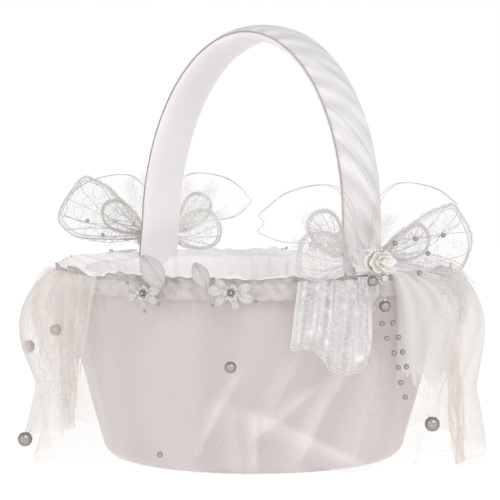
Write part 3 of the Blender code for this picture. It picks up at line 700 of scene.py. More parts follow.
def handle():
    """Ribbon wound on the steel strip: slanting laps outside, and a flat smooth inside."""
    wrap_low, wrap_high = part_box("handle_satin_wrap")
    rise = wrap_high.z - 1.7 * MM - HANDLE_SPRING_Z
    leg = HANDLE_SPRING_Z - wrap_low.z
    length = 2 * leg + 3.17 * HANDLE_HALF_SPAN
    leg_share = leg / length
    splay = 2.6 * MM
    depth = 1.3 * MM
    folds = ripple(51, 8, (5, 16), (0.4, 1.2))

    def centre(u):
        """(x, z, outward x, outward z) along the handle, u from the near foot to the far foot."""
        t = np.clip((u - leg_share) / (1 - 2 * leg_share), 0, 1)
        x = HANDLE_HALF_SPAN * np.cos(pi * t)
        z = HANDLE_SPRING_Z + rise * np.sin(pi * t)
        for sign, from_foot in ((1, u), (-1, 1 - u)):
            on_leg = from_foot < leg_share
            out = HANDLE_HALF_SPAN + splay * smooth((leg_share - from_foot) / leg_share, 0, 0.8)
            x = np.where(on_leg, sign * out, x)
            z = np.where(on_leg, wrap_low.z + leg * from_foot / leg_share, z)
        ox, oz = np.cos(pi * t) / HANDLE_HALF_SPAN, np.sin(pi * t) / rise
        size = np.hypot(ox, oz)
        return x, z, ox / size, oz / size

    def lean(z):
        return HANDLE_LEAN * np.clip(z - HANDLE_LEAN_FROM, 0, None)

    def section(v):
        """(across, outward) round the wrap: the outer face, an edge, the inner face and the other edge."""
        stations = [0, 0.02, 0.42, 0.44, 0.5, 0.52, 0.92, 0.94, 1.0]
        across = between(v, stations, [1, 0.96, -0.96, -1, -1, -0.96, 0.96, 1, 1])
        return across, between(v, stations, [0.45, 1, 1, 0.45, -0.45, -1, -1, -0.45, 0.45])

    def laps(u, across):
        """Where a place lies along the slanting laps, as shares of them all, of one lap and of a fold."""
        slant = (u * length + 1.5 * across * HANDLE_HALF_WIDTH) / LAP_PITCH
        lap = (slant + 0.22 * np.sin(2.7 * slant)) % 1
        return slant * LAP_PITCH / length, lap, (slant * 2.0 + 0.35) % 1

    def place(u, v):
        across, out = section(v)
        x, z, ox, oz = centre(u)
        at, lap, minor = laps(u, across)
        ridge = np.where(lap < 0.93, lap / 0.93, (1 - lap) / 0.07)
        small = np.where(minor < 0.9, minor / 0.9, (1 - minor) / 0.1)
        outer = smooth(out, 0.1, 0.7) * (1 - 0.55 * np.abs(across) ** 6)
        crumple = 0.4 + 1.8 * (1 - smooth(u, 0.05, 0.14)) + 1.8 * smooth(u, 0.86, 0.95)
        swell = outer * (0.35 * ridge + 0.12 * small + 0.15 * crumple * folds(at, across * 0.5)) * MM
        inner = -smooth(-out, 0.1, 0.7) * (0.12 * folds(u * 0.6, across * 0.3) + 0.12 * small) * MM
        reach = out * depth + swell + inner
        return x + ox * reach, across * (HANDLE_HALF_WIDTH - 0.3 * MM) + lean(z), z + oz * reach

    # Painted shade on the outer face only: it is darker all over than the inner face, and darker still along
    # the crease of each lap and fold.
    def creases(u, v):
        across, out = section(v)
        at, lap, minor = laps(u, across)
        deep = bump(lap, 0.95, 0.035) + 0.5 * bump(minor, 0.95, 0.06)
        soft = 0.04 * np.sin(TAU * lap) + 0.08 * folds(at * 2, across)
        return np.clip((0.4 + 0.3 * deep + soft) * smooth(out, 0.1, 0.8), 0, 0.9)

    wrap = sheet("wrap", place, (900, 64), RIBBON, closed_v=True, density_and_shade=creases)
    # A dark cord along one edge paints the line of shade at the ribbon's side.
    x, z, ox, oz = centre(np.linspace(0.004, 0.996, 500))
    edge = rows((x + ox * MM, lean(z) - HANDLE_HALF_WIDTH, z + oz * MM))
    piece = join("handle_ribbon_wrap", [wrap, tubes("edge", [edge], 0.38 * MM, SHADOW_CORD)])
    settle(piece, "basket", "handle_satin_wrap")


# ------------------------------------------------------------------ the bows


def organza_loops(side, seed):
    """Two wide sheer loops: a ribbon that leaves the knot, turns at its tip and comes back, with a hem."""
    stations = [0, 0.2, 0.45, 0.75, 1.0]
    for word, hand in (("left", -1), ("right", 1)):
        crumple = ripple(seed + hand, 6, (0.6, 2.4), (0.4, 1.8))

        def place(u, v):
            reach = 1 - np.abs(2 * u - 1) ** 1.5
            along = between(reach, stations, [4, 9, 22, 50, 66])
            middle = between(reach, stations, [1, 15, 24, 24, 22])
            across = (2 * v - 1) * between(reach, stations, [3.0, 10, 14.5, 12.5, 5.5])
            out = -3.6 + (0.6 + 1.3 * np.sqrt(reach)) * np.cos(pi * u) + 1.2 * crumple(u, v) * reach
            return from_knot(out, hand * (along - 0.15 * across), middle + across)

        cloth = sheet("cloth", place, (100, 22), ORGANZA)
        hems = [traced(place, np.linspace(0, 1, 180), v) for v in (0.0, 1.0)]
        hems.append(traced(place, 0.5, np.linspace(0, 1, 30)))
        piece = join(f"{side}_organza_loop_{word}_drape", [cloth, tubes("hem", hems, 0.2 * MM, HEM)])
        settle(piece, "basket", f"{side}_organza_loop_{word}", side)


# Outlines of the lace wings beside the knot: (along the bow, up) in millimetres from the knot's centre.
WING_RIGHT = (
    (7, 1), (13, 11), (25, 19), (38, 25), (52, 28), (60, 23),
    (65, 13), (67, 4), (64, -3), (54, -8), (38, -7), (20, -4),
)
WING_RIGHT_BACK = ((8, 3), (17, 13), (29, 18), (37, 16), (40, 10), (36, 3), (26, 0), (16, 0))
LOBE_UPPER = ((16, 5), (20, 16), (26, 25), (33, 27), (39, 24), (41, 17), (36, 9), (26, 4))
LOBE_LOWER = ((15, 1), (22, 9), (31, 15), (40, 16), (47, 11), (50, 3), (48, -5), (38, -8), (26, -6))
# Pearls sewn on the right wing: (outwards, along the bow, up) in millimetres from the knot's centre.
RIGHT_WING_PEARLS = ((9.5, 24, 11), (9, 33, 3), (9, 27, -7), (8.5, 44, 12), (7, 12, 9))


def wing(outline, hand, bulge, offset, seed, raised=0.0):
    """A corded lace wing: doubled outlines with scallops, veins from its root, and small cells between."""
    rng = np.random.default_rng(seed)
    sag = ripple(seed, 5, (0.8, 2.5), (0.8, 2.5))
    edge = rotated(closed_curve(outline, 160), raised)
    root = rotated(outline[:1], raised)[0]
    centre = edge.mean(0)
    reach = np.linalg.norm(edge - root, axis=1).max()
    lines, sizes = [], []

    def lift(points):
        far = np.clip(np.linalg.norm(points - root, axis=1) / reach, 0, 1)
        out = offset + bulge * np.sin(pi * far) + 1.1 * sag(points[:, 0] / 60, points[:, 1] / 60)
        return rows(from_knot(out, hand * points[:, 0], points[:, 1]))

    def cord(points, size):
        lines.append(lift(points))
        sizes.append(size * MM)

    def outwards(points):
        return (points - centre) / np.linalg.norm(points - centre, axis=1)[:, None]

    for share, size in ((1.0, 0.4), (0.94, 0.15), (0.89, 0.26)):
        ring = centre + (edge - centre) * share
        wobble = 0.25 * np.sin(np.linspace(0, 22 * TAU, len(ring)))[:, None]
        ring = ring + (ring - centre) / reach * wobble
        cord(np.vstack([ring, ring[:2]]), size)
    upper = edge[: len(edge) * 4 // len(outline)]
    for k in range(3):
        twist = 0.8 * np.sin(np.linspace(0, 7 * TAU, len(upper)) + k * TAU / 3)[:, None]
        cord(upper + outwards(upper) * twist, 0.14)
    scallops = len(edge) // 6
    t = np.linspace(0, 1, 10 * scallops)
    sampled = edge[(t * (len(edge) - 1)).astype(int)]
    cord(sampled + outwards(sampled) * (1.3 * np.abs(np.sin(pi * scallops * t)))[:, None], 0.12)

    veins = 10
    ends = [edge[int(k * len(edge) / veins)] for k in range(veins)]
    s = np.linspace(0, 1, 22)[:, None]
    spin = np.linspace(0, TAU, 16)
    for k, end in enumerate(ends):
        square = np.array([-(end - root)[1], (end - root)[0]])
        cord(root + (end - root) * s + square * rng.uniform(-0.12, 0.12) * np.sin(pi * s), 0.22)
        other = ends[(k + 1) % veins]
        for at in (0.42, 0.6, 0.8):
            middle = root + ((end + other) / 2 - root) * (at + rng.uniform(-0.05, 0.05))
            long = max(np.linalg.norm(other - end) * at * rng.uniform(0.32, 0.46), 0.9)
            short = long * rng.uniform(0.5, 0.9)
            cell = np.stack([np.cos(spin) * long, np.sin(spin) * short], -1)
            cord(middle + rotated(cell, np.degrees(rng.uniform(0, pi))), 0.12)

    def net(u, v):
        around = edge[(u * (len(edge) - 1)).astype(int)]
        flat = centre + (around - centre) * v[..., None]
        return np.moveaxis(lift(flat.reshape(-1, 2)).reshape(*u.shape, 3), -1, 0)

    return [tubes("cords", lines, sizes, CORD, sides=4), sheet("net", net, (100, 8), LACE_NET)]


def lace_loops(side, seed):
    """The bow's lace: a butterfly wing with small pearls on the right, and two round lobes on the left."""
    pearls = beads("beads", [from_knot(*place) for place in RIGHT_WING_PEARLS], 1.3 * MM, PEARL)
    raised = 12.0 if side == "far" else 0.0
    right = wing(WING_RIGHT, 1, 4.0, 3.6, seed, raised) + wing(WING_RIGHT_BACK, 1, 1.5, 2.2, seed + 1, raised)
    left = wing(LOBE_UPPER, -1, 2.0, 2.2, seed + 2) + wing(LOBE_LOWER, -1, 3.5, 3.8, seed + 3)
    for word, pieces in (("right", right + [pearls]), ("left", left)):
        piece = join(f"{side}_lace_wings_{word}", pieces)
        settle(piece, "basket", f"{side}_lace_loop_{word}", side)


def knot(side, seed):
    """The knot: a pinched organza band with gathered pleats."""
    low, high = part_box("near_bow_knot")
    centre, half = (low + high) / 2, (high - low) / 2
    pleats = ripple(seed, 5, (3, 9), (0.1, 0.6), whole=True)

    def squared(wave):
        return np.sign(wave) * np.abs(wave) ** 0.7

    def place(u, v):
        pinch = 0.8 + 0.2 * np.abs(2 * v - 1) ** 1.5
        swell = pinch * (1 + 0.06 * pleats(u, v) + 0.05 * np.sin(14 * pi * v))
        across, up = squared(np.cos(TAU * u)), squared(np.sin(TAU * u))
        y = (v * 2 - 1) * half.y * (1 - 0.15 * np.abs(up))
        return centre.x + across * half.x * swell * 0.95, centre.y + y, centre.z + up * half.z * swell * 0.95

    band = sheet(f"{side}_knot_band", place, (80, 24), KNOT_CLOTH, 0.3 * MM, closed_u=True)
    settle(band, "basket", f"{side}_bow_knot", side)


# Marabou tips of each side's bow: (root along, root up, tip along, tip up, half width), from the knot.
PLUMES = {
    "near": ((-14, -2, -36, 26, 9), (-14, -4, -44, 12, 8), (8, 2, 24, 24, 7)),
    "far": (
        (6, 0, 15, 46, 9), (10, 0, 27, 42, 9),
        (-10, -2, -38, 36, 10), (-12, -4, -48, 18, 9), (-6, 0, -20, 40, 8),
    ),
}
BARBS = 520


def plumes(side, seed):
    """Marabou behind the bow: short shafts with long soft barbs, so close that they read as down."""
    rng = np.random.default_rng(seed)
    low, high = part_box("near_feather_fan")
    back = ((low.x + high.x) / 2 - KNOT.x) / MM
    s = np.linspace(0, 1, 8)[:, None]
    t = np.linspace(0, 0.9, 14)[:, None]
    lines, sizes = [], []
    for root_y, root_z, tip_y, tip_z, width in PLUMES[side]:
        base, tip = np.array((root_y, root_z), float), np.array((tip_y, tip_z), float)
        along = (tip - base) / np.linalg.norm(tip - base)
        sideways = np.array([-along[1], along[0]])
        bow = rng.uniform(-2, 2)
        for k in range(BARBS):
            at = rng.uniform(0.02, 1.0) ** 0.8
            root = base + (tip - base) * at * 0.82 + sideways * bow * sin(pi * at)
            hand = 1 if k % 2 else -1
            size = width * (0.55 + 0.45 * sin(pi * at)) * rng.uniform(0.6, 1.15)
            rise = size * (0.55 * s + 0.35 * s**2) * (0.5 + 0.8 * at)
            barb = root + along * rise + sideways * hand * size * 0.8 * s**0.7 * (1.15 - 0.65 * at)
            curl = back + rng.uniform(-1, 1) + rng.uniform(-4.0, 4.0) * s[:, 0] ** 1.4
            barb = barb + rng.normal(0, 0.25, barb.shape) * s
            lines.append(rows(from_knot(curl, barb[:, 0], np.maximum(barb[:, 1], -6))))
            sizes.append(0.07 * MM)
        shaft = base + (tip - base) * t + sideways * bow * np.sin(pi * t)
        lines.append(rows(from_knot(back, shaft[:, 0], shaft[:, 1])))
        sizes.append(0.14 * MM)
    piece = tubes(f"{side}_marabou_plumes", lines, sizes, DOWN, sides=3)
    settle(piece, "basket", f"{side}_feather_fan", side)


# Rings of the rose's petals, from the outside in: (petals, radius, rise, size, tilt), in mm and radians.
ROSE_RINGS = ((6, 5.2, 1.8, 4.2, 0.45), (5, 3.4, 3.0, 3.5, 0.85), (4, 1.6, 4.0, 2.6, 1.3))


def rose(side, seed):
    """The brooch: a wide cream resin rose in a silver cup, with a grey pearl and a rhinestone below it."""
    low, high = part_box("near_brooch_setting")
    centre = (low + high) / 2
    rng = np.random.default_rng(seed)
    wide, tall = 1.3, 0.86

    def facing(lift, right, up):
        """A place by its millimetres out from the brooch's back, and right and up from its middle."""
        return low.x + lift * MM, centre.y + right * MM, centre.z + up * MM

    petals = []
    for ring, (count, radius, rise, size, tilt) in enumerate(ROSE_RINGS):
        for k in range(count):
            start = TAU * (k / count + 0.13 * ring)
            wobble = rng.uniform(0.9, 1.1)

            def place(u, v):
                out = v * size * wobble
                round_off = (2 * u - 1) ** 2
                r = radius * 0.55 + out * cos(tilt) * (1 - 0.35 * round_off)
                lift = rise + out * sin(tilt) * (1 - 0.3 * round_off) + 0.8 * smooth(v, 0.7, 1.0)
                angle = start + (u - 0.5) * 1.35 * (1.0 - 0.25 * v)
                return facing(lift, r * np.cos(angle) * wide, r * np.sin(angle) * tall)

            petals.append(sheet(f"petal_{ring}_{k}", place, (12, 9), CREAM, 0.5 * MM))
    petals.append(beads("heart", [facing(5.2, 0, 0)], 1.3 * MM, CREAM))
    settle(join(f"{side}_resin_rose", petals), "basket", f"{side}_brooch_stone", side)

    def cup(u, v):
        r = between(v, [0, 0.3, 0.6, 0.8, 1.0], [0.1, 5.0, 6.6, 7.2, 6.8])
        h = between(v, [0, 0.3, 0.6, 0.8, 1.0], [0.2, 0.2, 0.5, 1.2, 1.7])
        r = r * (1 + 0.02 * np.cos(24 * TAU * u) * v)
        return facing(h, r * np.cos(TAU * u) * wide, r * np.sin(TAU * u) * tall)

    def ring_of(count, radius, lift, right=0.0, up=0.0, stretch=(1.0, 1.0)):
        ways = [(stretch[0] * cos(TAU * k / count), stretch[1] * sin(TAU * k / count)) for k in range(count)]
        return [facing(lift, right + radius * x, up + radius * y) for x, y in ways]

    pearl_at, stone_at, small = (-5.2, -9.6), (2.8, -8.4), {"rings": 5, "around": 8}
    pieces = [
        sheet("dish", cup, (96, 14), SILVER, 0.4 * MM, closed_u=True),
        beads("studs", ring_of(26, 6.6, 1.9, stretch=(wide, tall)), 0.55 * MM, SILVER, **small),
        beads("grey_pearl", ring_of(1, 0.0, 2.6, *pearl_at), 2.7 * MM, PEARL),
        beads("rhinestone", ring_of(1, 0.0, 1.8, *stone_at), 2.3 * MM, CRYSTAL, **small),
        beads("claws", ring_of(12, 2.9, 1.6, *stone_at), 0.6 * MM, SILVER, **small),
        beads("collar", ring_of(10, 2.9, 0.9, *pearl_at), 0.45 * MM, SILVER, **small),
    ]
    settle(join(f"{side}_brooch_cup", pieces), "basket", f"{side}_brooch_setting", side)


# ------------------------------------------------------------------ tulle beside the bows


def strand_out(points, amount, curl=0.0, phase=0.0):
    """Moves a hair's points gradually away from the basket's axis, more towards its end, and curls them."""
    away = np.array((points[0, 0], points[0, 1], 0))
    away /= np.linalg.norm(away)
    side = np.array((-away[1], away[0], 0))
    s = np.linspace(0, 1, len(points))[:, None]
    coil = side * np.cos(9 * s + phase) + np.array((0, 0, 1)) * np.sin(9 * s + phase)
    moved = points + away * amount * MM * s**2 + coil * curl * MM * s
    moved[:, 2] = np.maximum(moved[:, 2], 0.8 * MM)
    return moved


def fall(name, material, seed, stations, top, hem, height, swell, folds, thin, hairs):
    """Two layers of tulle that fan out from the rim and fall over the skirt, with loose threads at the edges.

    stations are shares across the fall. At each, top and hem are its directions in degrees and height is how
    high it ends. swell tells the layers' stand-off, folds how deep and how many the folds are, thin how the
    cloth fades towards its first edge and its hem, and hairs how many threads there are and where.
    """
    rng = np.random.default_rng(seed)
    s = np.linspace(0, 1, 12)
    pieces = []
    for layer in range(2):
        broad = ripple(seed + layer, 6, folds["turns"], (0.0, 0.25))
        fine = ripple(seed + 10 + layer, 6, (12, 26), (0.0, 0.3))
        ragged = ripple(seed + 20 + layer, 6, (4, 26), (0, 0))
        stand, short = 1.6 + 1.5 * layer, 1 - 0.07 * layer

        def place(u, v):
            t = v * short * (1 + 0.04 * ragged(u, 0))
            first = between(u, stations, top)
            angle = np.radians(first + (between(u, stations, hem) - first) * t ** swell["turn"])
            z = swell["start"] + (between(u, stations, height) - swell["start"]) * t**1.2
            puff = swell["bulge"] * (1 - swell["hollow"] * smooth(u, 0.3, 0.6))
            out = puff * np.sin(pi * np.clip(t, 0, 1) ** 0.7) + swell["kick"] * t**2
            wave = (0.3 + 1.2 * t) * broad(u, v) + folds["fine"] * t * fine(u, v)
            hug = np.minimum(0, (z - 92) * swell["taper"])
            radius = (RIM_RADIUS / MM + stand + out + wave + hug) * MM
            return radius * np.cos(angle), radius * np.sin(angle), z * MM

        def density(u, v):
            fade = thin["edge"] * (1 - smooth(u, 0.0, 0.16)) + thin["hem"] * smooth(v, 0.55, 1.0)
            return 0.12 * np.clip(broad(u, v), -1, 1) + 0.1 * folds["fine"] * fine(u, v) - fade

        pieces.append(sheet(f"layer_{layer}", place, (150, 40), material, density_and_shade=density))
        strands = []
        for _ in range(hairs["count"]):
            u0 = rng.beta(*hairs["spread"])
            v0, long = rng.uniform(0.1, 1.0), rng.uniform(0.08, 0.2)
            path = traced(place, u0 + rng.uniform(-0.02, 0.02) * s, v0 + long * s)
            away, curl, phase = rng.uniform(1.0, 8.0), rng.uniform(0.5, 3.0), rng.uniform(0, TAU)
            strands.append(strand_out(path, away, curl, phase))
        pieces.append(tubes(f"fringe_{layer}", strands, 0.1 * MM, WISP, sides=3))
    return join(name, pieces)


def flounce(side, seed):
    """The smooth fall of tulle to the right of the drop."""
    piece = fall(
        f"{side}_tulle_fall",
        FLOUNCE,
        seed,
        stations=[0, 0.2, 0.45, 0.7, 0.88, 1.0],
        top=[2, 3.5, 5, 6, 7, 8],
        hem=[5, 16, 33, 48, 55, 58],
        height=[50, 47, 45, 50, 62, 76],
        swell={"start": 107, "turn": 0.72, "bulge": 3.2, "hollow": 0.0, "kick": 1.0, "taper": 0.06},
        folds={"turns": (1, 5), "fine": 0.03},
        thin={"edge": 0.5, "hem": 0.1},
        hairs={"count": 70, "spread": (5.0, 0.8)},
    )
    settle_blend(piece, f"{side}_tulle_flounce", side)


def bunch(side, seed):
    """Tulle bunched at the far end of the flounce, which narrows as it falls and stays with the skirt."""
    piece = fall(
        f"{side}_bunched_tulle",
        BUNCH,
        seed,
        stations=[0, 0.25, 0.5, 0.75, 1.0],
        top=[54, 66, 76, 86, 97],
        hem=[66, 73, 79, 85, 92],
        height=[52, 36, 26, 36, 52],
        swell={"start": 104, "turn": 1.3, "bulge": 9.0, "hollow": 0.95, "kick": 4.0, "taper": 0.0},
        folds={"turns": (2, 7), "fine": 0.2},
        thin={"edge": 0.2, "hem": 0.5},
        hairs={"count": 60, "spread": (1.2, 1.2)},
    )
    settle(piece, "basket", None, side)


def folded_tail(side, seed):
    """A long pleated end that narrows to wispy tips near the floor."""
    rng = np.random.default_rng(seed)
    crush = ripple(seed, 5, (1, 4), (0.5, 2.0))
    top, low, pleats = 74, 3, 7

    def zigzag(u):
        return np.abs(((u * pleats) % 1) * 2 - 1)

    def place(u, v):
        half = 7.5 - 4.5 * v
        angle = np.radians(37 - 12 * v**0.9 + (u - 0.5) * 2 * half)
        radius = RIM_RADIUS / MM + 2.2 + 13 * v**1.3 + (0.6 + 1.8 * (1 - v)) * zigzag(u) + 0.8 * crush(u, v)
        return polar(radius, angle, top + v * (low - top) + 1.5 * crush(u, 0.3) * v)

    cloth = sheet("tail_cloth", place, (112, 40), TAIL, density_and_shade=lambda u, v: 0.6 * zigzag(u) - 0.2)
    s = np.linspace(0, 1, 9)
    hairs = []
    for _ in range(150):
        u0, v0 = rng.uniform(0, 1), rng.uniform(0.1, 0.95)
        long = rng.uniform(0.06, 0.22)
        path = traced(place, u0 + 0.08 * rng.normal() * s, v0 + long * s)
        hairs.append(strand_out(path, rng.uniform(-1.0, 3.0)))
    piece = join(f"{side}_folded_end", [cloth, tubes("tail_wisps", hairs, 0.08 * MM, WISP, sides=3)])
    settle(piece, f"{side}_flounce", f"{side}_folded_tail", side)


# ------------------------------------------------------------------ the lace ends


def ruffle():
    """A small gathered lace ruffle that falls from under the knot, shorter on the drop's side."""
    lines = []
    s = np.linspace(0, 1, 40)
    for row in range(6):
        for lower in (0.0, 0.9):
            along = -11 + 14 * s + 1.2 * np.sin(9 * s + row)
            sag = -8.5 - 2.2 * row * (1 - 0.45 * s**2) - 3.0 * np.sin(pi * s) ** 0.8 + lower
            out = 5.5 + 1.6 * np.sin(pi * s) + 0.5 * row * (1 - s)
            lines.append(rows(from_knot(out, along, sag + 0.7 * np.sin(26 * s + row))))

    def frill(u, v):
        out = 5.0 + 1.4 * np.sin(pi * u) + 1.6 * v * (1 - 0.6 * u) + 0.7 * np.sin(40 * u + 5 * v)
        return from_knot(out, -11 + 14 * u, -7.5 - 14 * v * (1 - 0.5 * u**2) - 2.0 * np.sin(pi * u) * v)

    cloth = sheet("frill", frill, (60, 16), LACE_CLOTH, density_and_shade=lambda u, v: 0.3 + 0.2 * np.sin(40 * u))
    return [tubes("gathers", lines, 0.3 * MM, CORD, sides=4), cloth]


def lace_end(side, seed):
    """The lace ribbon's end: a cloth ground with corded flowers, leaves and scalloped edges."""
    rng = np.random.default_rng(seed)
    wave = ripple(seed, 5, (0.6, 2.2), (0.3, 1.2))
    pleat = ripple(seed + 1, 5, (2, 7), (0.0, 0.3))
    streaks = ripple(seed + 2, 7, (4, 16), (0.0, 0.4))
    top = 104.0
    lines, sizes = [], []

    def surface(u, v):
        """u across from the left edge, v down."""
        left, right = -25 - 2 * v, -3.5 - 2 * v
        angle = np.radians(left + u * (right - left))
        low = 70 - 13 * smooth(u, 0.25, 0.6) + 3 * smooth(u, 0.8, 1.0)
        radius = RIM_RADIUS / MM + 3.6 + 1.6 * np.sin(pi * v)
        radius = radius + (0.4 + 1.0 * v) * wave(u, v) + 0.7 * pleat(u, v)
        return polar(radius, angle, top + v * (low - top))

    def cord(u, v, size):
        lines.append(traced(surface, u, v))
        sizes.append(size * MM)

    t = np.linspace(0, 1, 110)
    for u, size in ((0.0, 0.3), (0.035, 0.16), (0.965, 0.16), (1.0, 0.24)):
        cord(u, t, size)
    for v, size in ((0.96, 0.16), (1.0, 0.24)):
        cord(t, v + 0.02 * np.abs(np.sin(9 * pi * t)), size)
    spin = np.linspace(0, TAU, 26)
    stem = np.linspace(0, 1, 10)
    for row in range(6):
        for column in range(5):
            cu = 0.11 + 0.195 * column + rng.uniform(-0.07, 0.07)
            cv = 0.1 + 0.16 * row + rng.uniform(-0.06, 0.06)
            for scale, size in ((1.0, 0.2), (0.55, 0.16)):
                r = scale * (0.68 + 0.32 * np.cos(5 * spin + row)) * 0.075
                cord(cu + r * np.cos(spin), cv + r * np.sin(spin), size)
            end = cu + rng.uniform(-0.1, 0.1)
            cord(cu * (1 - stem) + end * stem, cv * (1 - stem) + (cv + 0.09) * stem, 0.16)
            cord(cu + 0.05 + 0.03 * np.cos(spin), cv + 0.08 + 0.018 * np.sin(spin), 0.14)
    blobs = [(rng.uniform(0.05, 0.95), rng.uniform(0.05, 0.95), rng.uniform(0.02, 0.05)) for _ in range(26)]

    def density(u, v):
        total = 0.5 * streaks(u, v) - 0.9 * smooth(v, 0.8, 1.0)
        for cu, cv, size in blobs:
            total = total + np.exp(-(((u - cu) ** 2 + (v - cv) ** 2) / size**2))
        return total

    cords = tubes("cords", lines, sizes, LACE_YARN, sides=4)
    ground = sheet("ground", surface, (90, 80), LACE_CLOTH, density_and_shade=density)
    piece = join(f"{side}_lace_ribbon_end", [cords, ground, *ruffle()])
    settle_blend(piece, f"{side}_lace_tail", side)


# ------------------------------------------------------------------ pearls


def drop(side, seed):
    """The pearl drop under the brooch, with its cap and thread, and its two strands of beads."""
    low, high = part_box("near_drop_pearl")
    middle = (low + high) / 2
    radius = 3.0 * MM
    centre = (middle.x, middle.y, low.z + radius + 0.2 * MM)
    ball = beads("ball", [centre], radius, PEARL, rings=20, around=32)
    s = np.linspace(0, 1, 12)
    line = rows((middle.x, middle.y + 0.15 * MM * np.sin(9 * s), centre[2] + (high.z - centre[2]) * s))
    tie = tubes("tie", [line], 0.22 * MM, HEM)
    cap = beads("cap", [(middle.x, middle.y, centre[2] + radius)], 0.8 * MM, SILVER, rings=6, around=10)
    piece = join(f"{side}_pearl_drop_bead", [ball, tie, cap])
    settle(piece, f"{side}_pearl_drop", f"{side}_drop_pearl", side)
    for word, count in (("long", 6), ("short", 4)):
        strand(side, word, count, seed)


def strand(side, word, count, seed):
    """Small pearls on a thread that follows the strand's own line, with a slight wander."""
    low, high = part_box(f"near_pearl_strand_{word}")
    top = np.array((low.x + 0.4 * MM, low.y + 0.4 * MM, high.z))
    end = np.array((high.x - 0.4 * MM, high.y - 0.4 * MM, low.z))
    sway = ripple(seed + count, 3, (0.5, 1.5), (0, 0))
    first, pitch, last = 5, 8, 1.8

    def at(t):
        line = top + (end - top) * t[:, None]
        line[:, 1] += 0.9 * MM * sway(t, 0) * np.sin(pi * t)
        return line

    spots = (first + pitch * np.arange(count)) / (first + pitch * (count - 1) + last)
    balls = beads("balls", at(spots), 1.4 * MM, PEARL)
    cord = tubes("cord", [at(np.linspace(0, 1, 60))], 0.16 * MM, HEM)
    piece = join(f"{side}_{word}_bead_strand", [balls, cord])
    settle(piece, f"{side}_{word}_strand", f"{side}_pearl_strand_{word}", side)


SEWN_PEARLS = {
    "basket": ("front", "front_low", "left", "left_low", "right_low", "back", "back_right"),
    "far_flounce": ("far_flounce_pearl",),
}


def sewn_pearls():
    """Each pearl sits on the net with a stitch of thread through it."""
    for body, words in SEWN_PEARLS.items():
        for word in words:
            name = f"skirt_pearl_{word}" if body == "basket" else word
            low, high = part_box(name)
            centre = (low + high) / 2
            radius = (high.z - low.z) / 2
            ball = beads("ball", [centre], radius, PEARL, rings=20, around=32)
            inward = Vector((-centre.x, -centre.y, 0)).normalized()
            s = np.linspace(-1, 1, 14)[:, None]
            stitch = np.array(centre) + s * np.array((0, 0, radius * 1.25)) + s**2 * np.array(inward) * radius
            tie = tubes("tie", [stitch], 0.13 * MM, HEM)
            settle(join(name + "_bead", [ball, tie]), body, name)


# ------------------------------------------------------------------ rim trim


def rim_leaf(side, word):
    """An organza leaf with a wired edge, a midrib and side veins, on the CAD leaf's own place."""
    points = np.array([v.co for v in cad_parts[f"near_rim_leaf_{word}"].data.vertices])
    foot = points[:, 2].argmin() if word == "tall" else np.argmin(points[:, 0] ** 2 + points[:, 2] ** 2)
    middle = points.mean(0)
    spread = points - middle
    _, _, axes = np.linalg.svd(spread, full_matrices=False)
    along, across = axes[0], axes[1]
    if along @ (points[foot] - middle) > 0:
        along = -along
    outward = np.array((middle[0], middle[1], 0)) / np.hypot(middle[0], middle[1])
    length = np.ptp(spread @ along)
    width = np.ptp(spread @ across)

    def at(s, t):
        """s along the leaf from its foot, t across it from -1 to 1."""
        half = 0.5 * width * np.sin(pi * np.clip(s, 0, 1)) ** 0.8 + 0.02 * width
        cup = 0.09 * length * (t**2) - 0.05 * length * np.sin(pi * s)
        return stepped(middle, (along, (s - 0.5) * length), (across, t * half), (outward, cup + 0.8 * MM))

    leaf = sheet("leaf", lambda u, v: at(u, 2 * v - 1), (28, 14), LEAF_NET, 0.15 * MM)
    s = np.linspace(0, 1, 40)
    q = np.linspace(0, 1, 10)
    lines = [traced(at, s, t) for t in (-1.0, 1.0, 0.0)]
    lines += [traced(at, 0.1 + 0.11 * k + 0.14 * q, hand * q * 0.95) for k in range(1, 7) for hand in (-1, 1)]
    sizes = [0.34 * MM, 0.34 * MM, 0.26 * MM] + [0.16 * MM] * 12
    piece = join(f"{side}_wired_leaf_{word}", [leaf, tubes("veins", lines, sizes, VEIN)])
    turn = FAR_LEAF_TURN if (side, word) == ("far", "low") else 0.0
    settle(piece, "basket", f"{side}_rim_leaf_{word}", side, turn)


# The small leaves round each blossom: (direction in degrees from level, length in millimetres).
SPRAY = {
    "left": ((-25, 7), (12, 8), (150, 6), (200, 7), (-80, 5)),
    "right": ((-18, 9), (20, 8), (140, 7), (172, 9), (215, 7), (-70, 6)),
}


